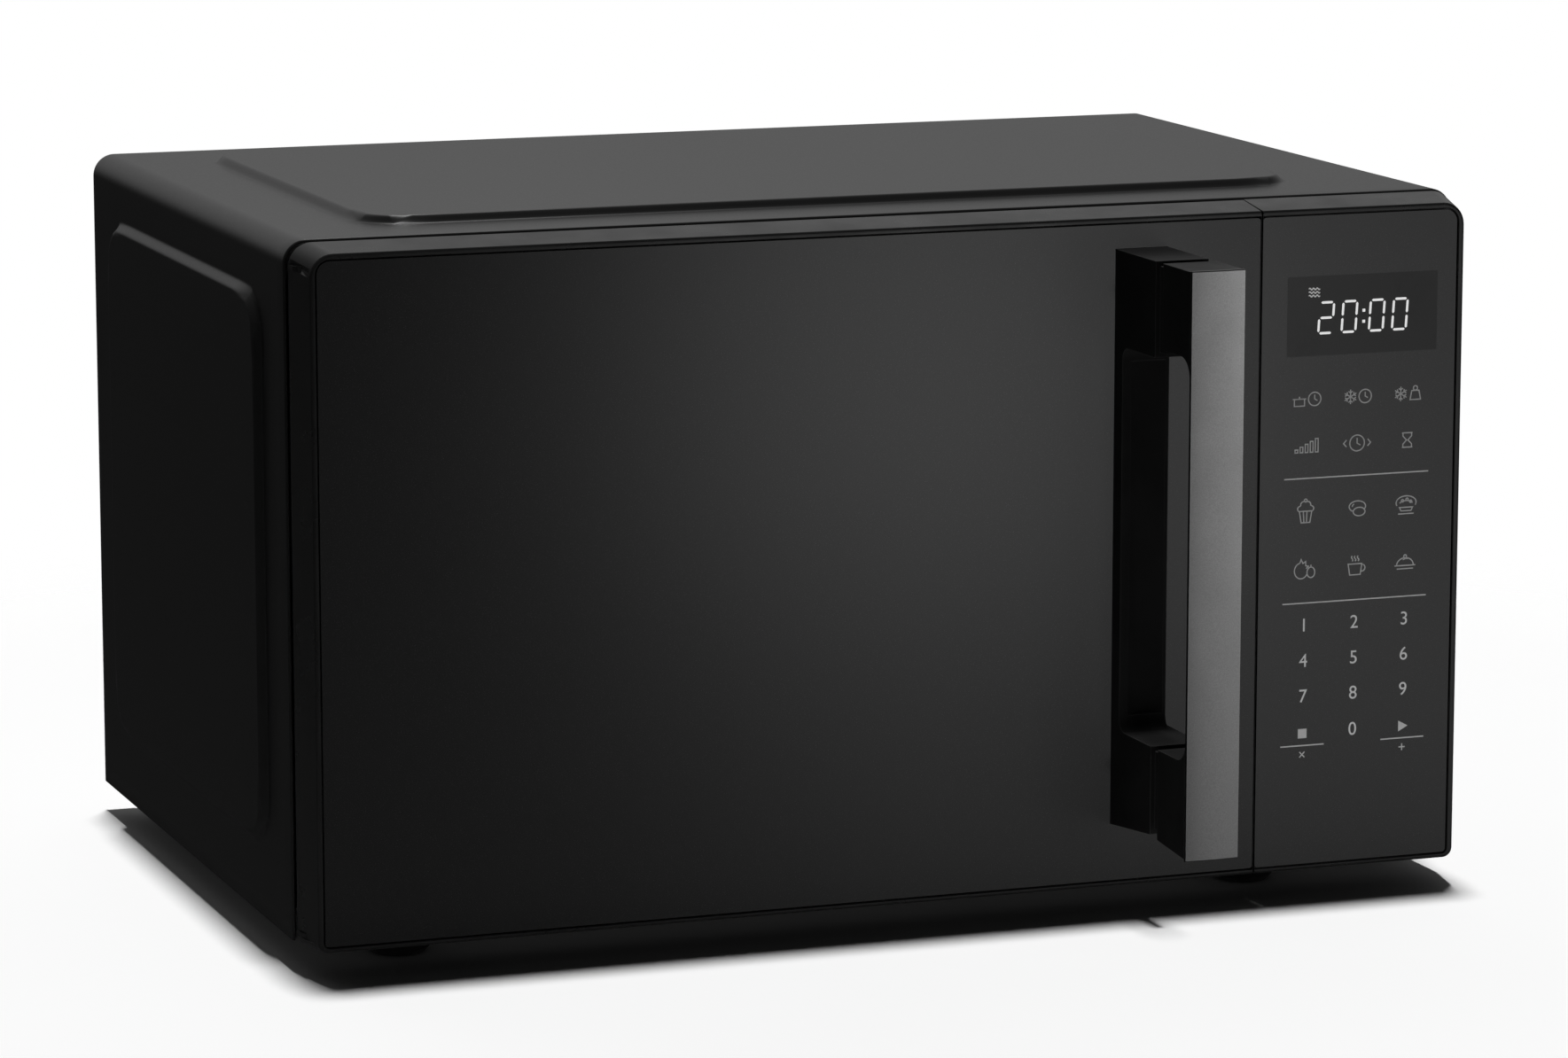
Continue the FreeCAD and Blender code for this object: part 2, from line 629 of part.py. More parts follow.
def make_interlock():
    wall = block((132, 134.5), ("cavity_front", -58), (58, 232))
    foot = block((122, 134.5), ("cavity_front", "cavity_front + 2"), (100, 190))
    shelves = [block((134.5, 147), (-102, -58), (58, 60)), block((134.5, 147), (-102, -58), (230, 232))]
    keep("interlock_bracket", fuse(wall, foot, *shelves))
    switches = []
    plungers = []
    for z in ("low_hook_z", "low_hook_z + 19", "high_hook_z"):
        case = block((134.5, 144.9), (-88, -60), (f"{z} - 8", f"{z} + 8"))
        blades = [block((139, 140), (-60, -53), (f"{z} + {shift}", f"{z} + {shift} + 5"))
                  for shift in (-7, -1, 4)]
        hole = block((138.4, 143.6), (-89, -80), (f"{z} - 2.1", f"{z} + 2.1"))
        switches.append(cut(fuse(case, *blades), hole))
        plungers.append(block((138.7, 143.3), (-90.6, -82), (f"{z} - 1.8", f"{z} + 1.8")))
    keep("microswitches", group(switches))
    keep("switch_plungers", group(plungers))


# ---------- turntable ----------

def spoke_block(angle, near, far, half_width, z):
    """A box that points away from the turntable's axis at an angle in degrees."""
    obj = block((near, far), (-half_width, half_width), z)
    centre = FreeCAD.Vector(number("table_x"), number("table_y"), 0)
    return turned_about_table(obj, angle, centre)


def turned_about_table(obj, angle, centre):
    """Clones an object to the turntable's axis, turned by an angle."""
    holder = doc.addObject("Part::Compound", "Turned")
    holder.Links = [obj]
    holder.Placement = FreeCAD.Placement(centre, FreeCAD.Rotation(FreeCAD.Vector(0, 0, 1), angle))
    return place(holder, "table_x", "table_y", 0)


def make_turntable():
    centre = ("table_x", "table_y")
    at_table = ("table_x", "table_y", 0)
    third = (0, 120, 240)
    motor = fuse(rod("z", 24.5, centre, (15.5, 30.2)), rod("z", 5.4, centre, (30.2, "cavity_low - steel")),
                 block(("table_x - 33", "table_x + 33"), ("table_y - 6", "table_y + 6"), (30.2, 31.4)),
                 block(("table_x - 7", "table_x + 7"), ("table_y - 36", "table_y - 22"), (17, 29)))
    keep("turntable_motor", cut(motor, rod("z", 3.05, centre, (22, 40))))

    hub = turned([(0, 23), (3, 23), (3, 35), (10, 35), (10, 42), (7, 45.5), (0, 45.5)], at_table)
    arms = [spoke_block(angle, 5, 20, 3, (37, 45.5)) for angle in third]
    keep("drive_coupler", fuse(hub, *arms))

    bowl = turned([(0, "tray_z"), ("tray_radius - 17", "tray_z"), ("tray_radius", "tray_z + 10.4"),
                   ("tray_radius", "tray_z + 12.4"), ("tray_radius - 3", "tray_z + 12.4"),
                   ("tray_radius - 18.5", "tray_z + tray_glass"), (0, "tray_z + tray_glass")], at_table)
    lugs = [spoke_block(angle + 60, 12, 20, 4, (45.2, "tray_z + 0.5")) for angle in third]
    keep("glass_tray", fuse(bowl, *lugs))

    ring = turned([(62, 38.5), (74, 38.5), (75, 40), (75, 43), (74, 44.4), (62, 44.4)], at_table)
    spin_centre = FreeCAD.Vector(number("table_x"), number("table_y"), 0)
    axles = []
    for angle in third:
        axle = rod("x", "axle_radius", (0, "roller_z"), (70, "roller_middle + roller_width / 2 + 3"))
        axles.append(turned_about_table(axle, angle, spin_centre))
    keep("roller_ring", fuse(ring, *axles))
    half = "roller_width / 2"
    bore = "axle_radius + running_fit"
    tyre = [(bore, f"-({half})"), ("roller_radius - 1", f"-({half})"), ("roller_radius", f"-({half}) + 1"),
            ("roller_radius", f"{half} - 1"), ("roller_radius - 1", half), (bore, half)]
    for label, angle in zip(("roller_a", "roller_b", "roller_c"), third):
        wheel = turned(tyre, ("roller_middle", 0, "roller_z"), "x")
        keep(label, turned_about_table(wheel, angle, spin_centre))


# ---------- component bay ----------

def make_microwave_source():
    outer_x = ("cavity_right + steel", 140)
    guide = cut(block(outer_x, (34, 134), (166, 238)),
                block(("cavity_right", 139), (35, 133), (167, 237)),
                rod("x", 10, ("tube_y", "tube_z"), (137, 142)))
    keep("waveguide", guide)
    y = ("tube_y - 40", "tube_y + 40")
    z = ("tube_z - 37", "tube_z + 37")
    yoke = cut(block((140, 214), y, z), block((142, 212), ("tube_y - 41", "tube_y + 41"),
                                              ("tube_z - 35", "tube_z + 35")),
               rod("x", 10, ("tube_y", "tube_z"), (139, 143)), rod("x", 12, ("tube_y", "tube_z"), (211, 215)))
    keep("magnetron_yoke", yoke)
    fins = [block((158 + index * 7, 159 + index * 7), ("tube_y - 38", "tube_y + 38"),
                  ("tube_z - 34", "tube_z + 34"))
            for index in range(6)]
    antenna = turned([(0, -17), (5, -17), (7, -14), (7, -2), (9.6, -2), (9.6, 14), (0, 14)],
                     (140, "tube_y", "tube_z"), "x")
    keep("magnetron_tube", fuse(rod("x", 19, ("tube_y", "tube_z"), (153, 201)), antenna, *fins))
    magnet = [(12, 0), (27, 0), (27, 10.5), (12, 10.5)]
    keep("magnetron_magnets", group([turned(magnet, (x, "tube_y", "tube_z"), "x") for x in (142.2, 201.3)]))
    filter_box = fuse(block((214, 236), ("tube_y - 27", "tube_y + 27"), ("tube_z - 25", "tube_z + 25")),
                      rod("x", 11, ("tube_y", "tube_z"), (203, 215)),
                      block((220, 230), ("tube_y - 33", "tube_y - 26"), ("tube_z - 9", "tube_z + 9")))
    keep("magnetron_filter", filter_box)


def make_inverter():
    """The switched high-voltage supply, on a tray over the base plate."""
    x = (131, 231)
    y = (-77, 79)
    board_z = 26
    top = board_z + 1.6
    posts = [rod("z", 4, (post_x, post_y), (15.5, board_z)) for post_x in (138, 224) for post_y in (-70, 72)]
    tray = cut(block((x[0] - 3, x[1] + 3), (y[0] - 3, y[1] + 3), ("base_z + steel", board_z - 2)),
               block((x[0] - 1, x[1] + 1), (y[0] - 1, y[1] + 1), ("base_z + steel + 2", board_z)))
    keep("inverter_tray", fuse(tray, *posts))

    film_capacitors = [block((136, 162), (start, start + 18), (top, 50)) for start in (-70, -48)]
    choke = cut(rod("z", 14, (150, -8), (top, 47)), rod("z", 5, (150, -8), (top + 2, 48)))
    doublers = [rod("z", 7, (142, start), (top, 46)) for start in (34, 54)]
    terminals = [block((160, 170), (start, start + 6), (top, 40)) for start in (34, 46, 58)]
    keep("inverter_board", fuse(block(x, y, (board_z, top)), choke, *film_capacitors, *doublers, *terminals))

    core_y = (24, 54)
    leg_z = (top + 20, top + 30)
    core = cut(block((176, 226), core_y, (top, top + 50)),
               block((184, 218), (20, 58), (top + 9.4, leg_z[0])), block((184, 218), (20, 58), (leg_z[1], top + 40.6)))
    keep("inverter_core", core)
    keep("inverter_windings", cut(block((184.3, 217.7), (13, 65), (top + 9.7, top + 40.3)),
                                  block((184, 218), (core_y[0] - 0.2, core_y[1] + 0.2),
                                        (leg_z[0] - 0.2, leg_z[1] + 0.2))))

    fins = [block((183, 226), (start, start + 1.6), (top, 76)) for start in range(-70, -6, 9)]
    keep("heat_sink", fuse(block((180, 184), (-70, -5.4), (top, 76)), *fins))


def make_cooling():
    centre = ("fan_x", "fan_z")
    shroud_y = (162, "back_y - 2")
    duct = cut(block(("fan_x - 52", "fan_x + 52"), shroud_y, ("fan_z - 52", "fan_z + 52")),
               rod("y", "fan_radius + 3", centre, (160, 200)))
    posts = [rod("y", 3.2, (f"fan_x + {side * 26}", "fan_z"), (150, 163)) for side in (-1, 1)]
    bridge = block(("fan_x - 58", "fan_x + 58"), (160, 162), ("fan_z - 6", "fan_z + 6"))
    keep("fan_shroud", cut(fuse(duct, bridge, *posts), rod("y", 9, centre, (159, 163))))
    stack = cut(block(("fan_x - 32", "fan_x + 32"), (136, 150), ("fan_z - 26", "fan_z + 30")),
                block(("fan_x - 18", "fan_x + 18"), (135, 151), ("fan_z + 17", "fan_z + 22")))
    bearings = [block(("fan_x - 8", "fan_x + 8"), (130, 136), ("fan_z - 8", "fan_z + 8")),
                block(("fan_x - 8", "fan_x + 8"), (150, 154), ("fan_z - 8", "fan_z + 8"))]
    bobbin = block(("fan_x - 14", "fan_x + 14"), (129, 136), ("fan_z + 10", "fan_z + 30"))
    keep("fan_motor", cut(fuse(stack, bobbin, *bearings), rod("y", 2.05, centre, (125, 158))))

    hub = fuse(rod("y", 2, centre, (132, 184)), rod("y", 12, centre, (166, 182)))
    blades = []
    pitch_turn = FreeCAD.Rotation(FreeCAD.Vector(0, 0, 1), 32)
    for index in range(5):
        blade = block((-9, 9), (-0.9, 0.9), (9, "fan_radius"))
        blade.Placement = FreeCAD.Placement(FreeCAD.Vector(), pitch_turn)
        place(blade, 0, 0, 9)
        bind(blade, Height="fan_radius - 9")
        holder = doc.addObject("Part::Compound", "Blade")
        holder.Links = [blade]
        holder.Placement = FreeCAD.Placement(FreeCAD.Vector(), FreeCAD.Rotation(FreeCAD.Vector(0, 1, 0), index * 72))
        blades.append(place(holder, "fan_x", 174, "fan_z"))
    keep("fan_blade", fuse(hub, *blades))

    duct_outer = fuse(block((141, 214), (8, 64), (168, 236)),
                      block(("cavity_right + steel", 142), (-12, 24), (168, 236)))
    duct_inner = fuse(block((142, 213), (9, 65), (169, 235)),
                      block(("cavity_right", 143), (-11, 23), (169, 235)))
    keep("air_duct", cut(duct_outer, duct_inner))

    holder_x = ("cavity_right + steel", 132)
    lamp_y = -43
    lamp_z = 160
    socket = cut(block(holder_x, (lamp_y - 21, lamp_y + 21), (lamp_z - 18, lamp_z + 18)),
                 block(("cavity_right", 130), (lamp_y - 17, lamp_y + 17), (lamp_z - 15, lamp_z + 15)),
                 rod("x", 9.2, (lamp_y, lamp_z), (129, 134)))
    collar = turned([(9.2, 0), (13, 0), (13, 22), (0, 22), (0, 19), (9.2, 19)], (132, lamp_y, lamp_z), "x")
    keep("lamp_holder", fuse(socket, collar))
    bulb = [(0, -9), (6, -8), (9, -3), (9, 4), (8, 8), (8, 18), (0, 18)]
    keep("cavity_lamp", turned(bulb, (132, lamp_y, lamp_z), "x"))

    cutout = [(0, 0), (9, 0), (9, 5), (7, 5), (7, 10), (0, 10)]
    on_cavity = turned(cutout, (60, 60, "cavity_high + steel"))
    on_tube = turned(cutout, (180, "tube_y", "tube_z + 37"))
    keep("thermal_cutouts", group([on_cavity, on_tube]))

    board = block((136, 232), (178, 179.6), (182, 270))
    stand_offs = [rod("y", 3, (x, z), (179.6, "back_y - 2")) for x in (142, 226) for z in (188, 264)]
    parts = [rod("y", 13, (160, 250), (166, 178)), block((184, 212), (164, 178), (240, 262)),
             rod("x", 3.2, (175.2, 200), (150, 172)), block((190, 222), (166, 178), (196, 216))]
    keep("filter_board", fuse(board, *stand_offs, *parts))


make_cabinet()
make_base_plate()
make_feet()
make_rear_panel()
make_cavity()
make_door_frame()
make_door_inside()
make_latch()
make_hinges()
make_handle()
make_control_panel()
make_interlock()
make_turntable()
make_microwave_source()
make_inverter()
make_cooling()

doc.recompute()

for obj in doc.Objects:
    if "Invalid" in obj.State or "Error" in obj.State:
        raise RuntimeError(f"{obj.Name} ({obj.Label}) failed: {obj.State}")

os.makedirs("parts", exist_ok=True)
for label, obj in sub_parts.items():
    shape = obj.Shape
    if shape.isNull() or not shape.isValid() or shape.Volume <= 0:
        raise RuntimeError(f"{label} has no valid shape")
for label, obj in sub_parts.items():
    obj.Shape.exportStep(f"parts/{label}.step")
    print(f"{label}: {len(obj.Shape.Solids)} solids, {obj.Shape.Volume / 1000:.1f} cm3")
print(len(sub_parts), "sub-parts")
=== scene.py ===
"""Looks of the countertop microwave oven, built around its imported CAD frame.

Metres, +Z up, the front faces -Y and the right side faces +X."""
import json
import math

import bmesh
import bpy
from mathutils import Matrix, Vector

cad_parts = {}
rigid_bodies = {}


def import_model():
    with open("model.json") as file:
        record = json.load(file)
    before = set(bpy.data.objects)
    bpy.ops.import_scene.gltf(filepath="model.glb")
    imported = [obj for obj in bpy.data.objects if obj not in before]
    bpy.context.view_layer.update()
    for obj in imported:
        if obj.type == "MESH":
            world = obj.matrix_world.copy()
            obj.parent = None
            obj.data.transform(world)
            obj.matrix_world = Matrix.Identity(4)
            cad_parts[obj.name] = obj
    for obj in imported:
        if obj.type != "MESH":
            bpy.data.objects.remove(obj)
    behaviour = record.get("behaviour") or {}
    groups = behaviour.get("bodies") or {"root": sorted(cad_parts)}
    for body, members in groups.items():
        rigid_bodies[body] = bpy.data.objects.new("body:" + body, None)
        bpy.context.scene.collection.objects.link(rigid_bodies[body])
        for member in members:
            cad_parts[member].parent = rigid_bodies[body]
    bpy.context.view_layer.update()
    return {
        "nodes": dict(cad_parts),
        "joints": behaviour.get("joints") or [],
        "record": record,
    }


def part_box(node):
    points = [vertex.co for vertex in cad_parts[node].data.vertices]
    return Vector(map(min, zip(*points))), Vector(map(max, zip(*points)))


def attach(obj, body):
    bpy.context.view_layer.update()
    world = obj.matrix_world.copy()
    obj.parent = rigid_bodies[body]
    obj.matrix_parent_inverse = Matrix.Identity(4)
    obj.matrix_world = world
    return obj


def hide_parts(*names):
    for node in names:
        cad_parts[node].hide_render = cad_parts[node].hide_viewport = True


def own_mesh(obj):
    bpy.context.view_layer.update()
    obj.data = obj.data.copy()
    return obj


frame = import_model()
nodes = frame["nodes"]
MM = 0.001


# ---------- mesh helpers ----------

def on_circle(centre, radius, degrees):
    """A point on a circle, at an angle from the first axis towards the second."""
    angle = math.radians(degrees)
    return centre[0] + radius * math.cos(angle), centre[1] + radius * math.sin(angle)


def add_object(name, data):
    added = bpy.data.objects.new(name, data)
    bpy.context.scene.collection.objects.link(added)
    return added


def link_mesh(name, vertices, faces, smooth=True):
    mesh = bpy.data.meshes.new(name)
    mesh.from_pydata(vertices, [], faces)
    mesh.update()
    for polygon in mesh.polygons:
        polygon.use_smooth = smooth
    return add_object(name, mesh)


def from_bmesh(name, bm):
    """A flat-shaded piece from a bmesh, which is freed."""
    for face in bm.faces:
        face.smooth = False
    mesh = bpy.data.meshes.new(name)
    bm.to_mesh(mesh)
    bm.free()
    return add_object(name, mesh)


def mesh_of(curve):
    """The mesh of a curve or of a text, whose own data is removed."""
    holder = add_object("outline", curve)
    bpy.context.view_layer.update()
    mesh = bpy.data.meshes.new_from_object(holder.evaluated_get(bpy.context.evaluated_depsgraph_get()))
    bpy.data.objects.remove(holder)
    bpy.data.curves.remove(curve)
    return mesh


def weld(piece, outward=True, crease=None):
    """Joins double points, turns the faces outward and makes edges sharper than crease degrees sharp."""
    bm = bmesh.new()
    bm.from_mesh(piece.data)
    bmesh.ops.remove_doubles(bm, verts=bm.verts, dist=1e-7)
    if outward:
        bmesh.ops.recalc_face_normals(bm, faces=bm.faces)
    if crease is not None:
        for edge in bm.edges:
            edge.smooth = len(edge.link_faces) == 2 and edge.calc_face_angle(0.0) < math.radians(crease)
    bm.to_mesh(piece.data)
    bm.free()


def thicken(piece, thickness, offset):
    sheet = piece.modifiers.new("sheet", "SOLIDIFY")
    sheet.thickness = thickness
    sheet.offset = offset


def upright_block(outline, bottom, top):
    """A closed block that stands on an outline of (x, y) points."""
    bm = bmesh.new()
    base = bm.faces.new([bm.verts.new((x, y, bottom)) for x, y in outline])
    lifted = bmesh.ops.extrude_face_region(bm, geom=[base])["geom"]
    lifted = [item for item in lifted if isinstance(item, bmesh.types.BMVert)]
    bmesh.ops.translate(bm, vec=(0, 0, top - bottom), verts=lifted)
    bmesh.ops.remove_doubles(bm, verts=bm.verts, dist=1e-6)
    bmesh.ops.recalc_face_normals(bm, faces=bm.faces)
    return bm


def ring_faces(rings, count, closed):
    """Faces between successive rings of count points, and from the last to the first if closed."""
    faces = []
    for ring in range(rings if closed else rings - 1):
        after = (ring + 1) % rings
        for index in range(count):
            beside = (index + 1) % count
            faces.append((ring * count + index, after * count + index,
                          after * count + beside, ring * count + beside))
    return faces


def finish_piece(piece, body, slot, material=None):
    """Gives a new piece its body and its material: the one given, or without one that of the named slot."""
    piece.data.materials.clear()
    piece.data.materials.append(material or MATERIALS[slot])
    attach(piece, body)
    return piece


# ---------- node helpers ----------

class Tree:
    """A small builder for a node tree."""

    def __init__(self, tree):
        self.tree = tree

    def add(self, kind, inputs=(), **settings):
        node = self.tree.nodes.new(kind)
        for key, value in settings.items():
            setattr(node, key, value)
        for key, value in dict(inputs).items():
            self.put(node.inputs[key], value)
        return node

    def put(self, socket, value):
        if isinstance(value, bpy.types.NodeSocket):
            self.tree.links.new(value, socket)
        else:
            socket.default_value = value

    def spread(self, fac, low, high, start=0.3, stop=0.7):
        """A number that runs from low to high as fac runs from start to stop."""
        node = self.add("ShaderNodeMapRange", {"Value": fac, "From Min": start, "From Max": stop,
                                               "To Min": low, "To Max": high})
        return node.outputs["Result"]

    def times(self, first, second):
        return self.add("ShaderNodeMath", {0: first, 1: second}, operation="MULTIPLY").outputs[0]


class Nodes(Tree):
    """The node tree of one new material."""

    def __init__(self, name):
        self.material = bpy.data.materials.new(name)
        self.material.use_nodes = True
        super().__init__(self.material.node_tree)
        self.shader = self.tree.nodes["Principled BSDF"]
        self.output = self.tree.nodes["Material Output"]
        self.position = self.add("ShaderNodeTexCoord").outputs["Object"]

    def set(self, **values):
        for key, value in values.items():
            self.put(self.shader.inputs[key.replace("_", " ")], value)
        return self

    def stretched(self, scale):
        """Object coordinates multiplied along each axis."""
        return self.add("ShaderNodeMapping", {"Vector": self.position, "Scale": scale}).outputs["Vector"]

    def noise(self, scale, detail=3.0, roughness=0.55, vector=None):
        node = self.add("ShaderNodeTexNoise", {"Vector": vector or self.position, "Scale": scale,
                                               "Detail": detail, "Roughness": roughness})
        return node.outputs["Fac"]

    def blend(self, fac, first, second):
        node = self.add("ShaderNodeMix", data_type="RGBA")
        self.put(node.inputs["Factor"], fac)
        self.put(node.inputs["A"], first)
        self.put(node.inputs["B"], second)
        return node.outputs["Result"]

    def bump(self, height, distance, strength):
        inputs = {"Height": height, "Distance": distance, "Strength": strength}
        return self.add("ShaderNodeBump", inputs).outputs["Normal"]

    def sharp_edge_mask(self, radius):
        """1 near sharp edges and 0 elsewhere, from the difference of the bevelled and the plain normal."""
        bevel = self.add("ShaderNodeBevel", {"Radius": radius}, samples=4)
        geometry = self.add("ShaderNodeNewGeometry")
        dot = self.add("ShaderNodeVectorMath", {0: bevel.outputs["Normal"], 1: geometry.outputs["Normal"]},
                       operation="DOT_PRODUCT")
        return self.spread(dot.outputs["Value"], 1.0, 0.0, 0.80, 0.99)


def grey(value, warmth=0.0):
    return (value * (1 + warmth), value, value * (1 - warmth), 1.0)


def painted(name, base, roughness, grain_scale=900.0, grain=0.00004, coat=0.0):
    """Powder-coated or enamelled sheet steel: fine orange peel, uneven gloss, worn edges."""
    n = Nodes(name)
    broad = n.noise(5.0, 3.0)
    peel = n.noise(grain_scale, 2.0)
    colour = n.blend(n.spread(broad, 0.0, 1.0), grey(base * 0.95), grey(base * 1.05))
    chipped = n.blend(n.times(n.sharp_edge_mask(0.0006), 0.12), colour, grey(0.20))
    n.set(Base_Color=chipped, Metallic=0.0, Coat_Weight=coat, Coat_Roughness=0.15,
          Roughness=n.spread(peel, roughness - 0.02, roughness + 0.02),
          Normal=n.bump(peel, grain, 0.5))
    return n.material


def moulded(name, base, roughness, texture=0.00003, texture_scale=1500.0, warmth=0.0, gloss=0.5, edge=0.0):
    """Injection-moulded plastic with a fine etched texture, slightly uneven gloss and, where edge is given, a
    painted highlight along its sharp edges.
    """
    n = Nodes(name)
    fine = n.noise(texture_scale, 2.0, 0.7)
    colour = n.blend(n.spread(n.noise(30.0), 0.0, 1.0), grey(base * 0.85, warmth), grey(base * 1.15, warmth))
    # Where edge is given, sharp edges are lightened towards it: a painted highlight.
    if edge:
        colour = n.blend(n.sharp_edge_mask(0.0007), colour, grey(edge))
    n.set(Base_Color=colour,
          Roughness=n.spread(n.noise(45.0, 4.0), roughness - 0.05, roughness + 0.05),
          Specular_IOR_Level=gloss, Normal=n.bump(fine, texture, 0.7))
    return n.material


def sheet_metal(name, base, roughness, stretch, warmth=0.0):
    """Bare metal with rolling or brushing lines along one axis."""
    n = Nodes(name)
    lines = n.noise(1.0, 5.0, 0.75, n.stretched(stretch))
    broad = n.noise(14.0, 3.0)
    shade = n.blend(n.spread(lines, 0.0, 1.0), grey(base * 0.80, warmth), grey(base * 1.15, warmth))
    n.set(Base_Color=n.blend(n.times(n.spread(broad, 0.0, 1.0), 0.35), shade, grey(base, warmth)),
          Metallic=1.0, Roughness=n.spread(lines, roughness - 0.07, roughness + 0.09),
          Normal=n.bump(lines, 0.00002, 0.5))
    return n.material


def dark_glass(name, gloss):
    """Tempered glass with a black back print: almost opaque, polished, with the faintest waviness."""
    n = Nodes(name)
    ripple = n.noise(6.0, 1.0)
    specks = n.noise(2600.0, 1.0)
    n.set(Base_Color=n.blend(n.spread(n.noise(3.0), 0.0, 1.0), grey(0.0125), grey(0.0135)),
          Roughness=n.spread(specks, 0.25, 0.28, 0.45, 0.75), IOR=1.5, Specular_IOR_Level=gloss,
          Normal=n.bump(ripple, 0.00002, 0.2))
    return n.material


def clear_glass(name, tint, roughness):
    """Pressed clear glass with soft ripples."""
    n = Nodes(name)
    shaded = tuple(channel * 0.96 for channel in tint[:3]) + (1.0,)
    n.set(Base_Color=n.blend(n.spread(n.noise(8.0), 0.0, 1.0), tint, shaded),
          Roughness=n.spread(n.noise(90.0), roughness, roughness + 0.03), IOR=1.5, Transmission_Weight=1.0,
          Normal=n.bump(n.noise(60.0, 2.0), 0.00004, 0.5))
    return n.material


def brushed_strip():
    """The handle's metal strip: bead-blasted and anodised dark silver, with its base colour lighter along its
    sharp edges.
    """
    n = Nodes("blasted_strip")
    blast = n.noise(2600.0, 2.0, 0.8)
    shade = n.blend(n.spread(blast, 0.0, 1.0, 0.35, 0.65), grey(0.18), grey(0.235))
    # Base colour lighter along the sharp edges.
    n.set(Base_Color=n.blend(n.times(n.sharp_edge_mask(0.0006), 0.4), shade, grey(0.48)), Metallic=1.0,
          Roughness=n.spread(n.noise(40.0), 0.36, 0.40), Normal=n.bump(blast, 0.00003, 0.5))
    return n.material


def print_ink(name, level, glow=0.0):
    """Screen-printed marks: thin matt ink, slightly uneven. With glow the ink gives off light: on the panel's
    printed marks that is painted light, on the display's segments it is the display's own light.
    """
    n = Nodes(name)
    n.set(Base_Color=n.blend(n.spread(n.noise(1400.0), 0.0, 1.0), grey(level * 0.9), grey(level)),
          Roughness=n.spread(n.noise(500.0), 0.5, 0.65), Normal=n.bump(n.noise(3000.0), 0.00001, 0.5))
    # A glow on printed marks is painted light; on display segments it is the display's own light.
    if glow:
        n.set(Emission_Color=grey(1.0), Emission_Strength=glow)
    return n.material


def circuit_board():
    """Green solder mask with lighter copper tracks under it."""
    n = Nodes("circuit_board")
    tracks = n.add("ShaderNodeTexBrick", {"Vector": n.position, "Scale": 60.0, "Mortar Size": 0.08,
                                          "Color1": (0.01, 0.07, 0.03, 1),
                                          "Color2": (0.015, 0.09, 0.035, 1), "Mortar": (0.03, 0.17, 0.07, 1)})
    n.set(Base_Color=tracks.outputs["Color"], Roughness=n.spread(n.noise(200.0), 0.3, 0.45),
          Normal=n.bump(tracks.outputs["Fac"], 0.00006, 0.5))
    return n.material


def coiled_wire():
    """Enamelled winding wire laid in layers."""
    n = Nodes("coiled_wire")
    turns = n.add("ShaderNodeTexWave", {"Vector": n.position, "Scale": 320.0, "Distortion": 0.6},
                  bands_direction="Z")
    n.set(Base_Color=n.blend(turns.outputs["Fac"], (0.12, 0.03, 0.008, 1), (0.5, 0.19, 0.06, 1)),
          Metallic=0.8, Roughness=n.spread(n.noise(300.0), 0.3, 0.45),
          Normal=n.bump(turns.outputs["Fac"], 0.0003, 0.8))
    return n.material


def mica_sheet():
    """Pressed mica: pale, layered flakes with a pearly sheen."""
    n = Nodes("mica_sheet")
    flakes = n.add("ShaderNodeTexVoronoi", {"Vector": n.position, "Scale": 220.0})
    n.set(Base_Color=n.blend(flakes.outputs["Distance"], (0.42, 0.38, 0.30, 1), (0.62, 0.58, 0.49, 1)),
          Roughness=n.spread(flakes.outputs["Distance"], 0.35, 0.6, 0.0, 0.8),
          Normal=n.bump(flakes.outputs["Distance"], 0.00008, 0.6))
    return n.material


def rubber(name):
    n = Nodes(name)
    n.set(Base_Color=n.blend(n.spread(n.noise(80.0), 0.0, 1.0), grey(0.012), grey(0.02)),
          Roughness=n.spread(n.noise(120.0), 0.75, 0.9), Normal=n.bump(n.noise(1800.0, 3.0), 0.00005, 0.8))
    return n.material


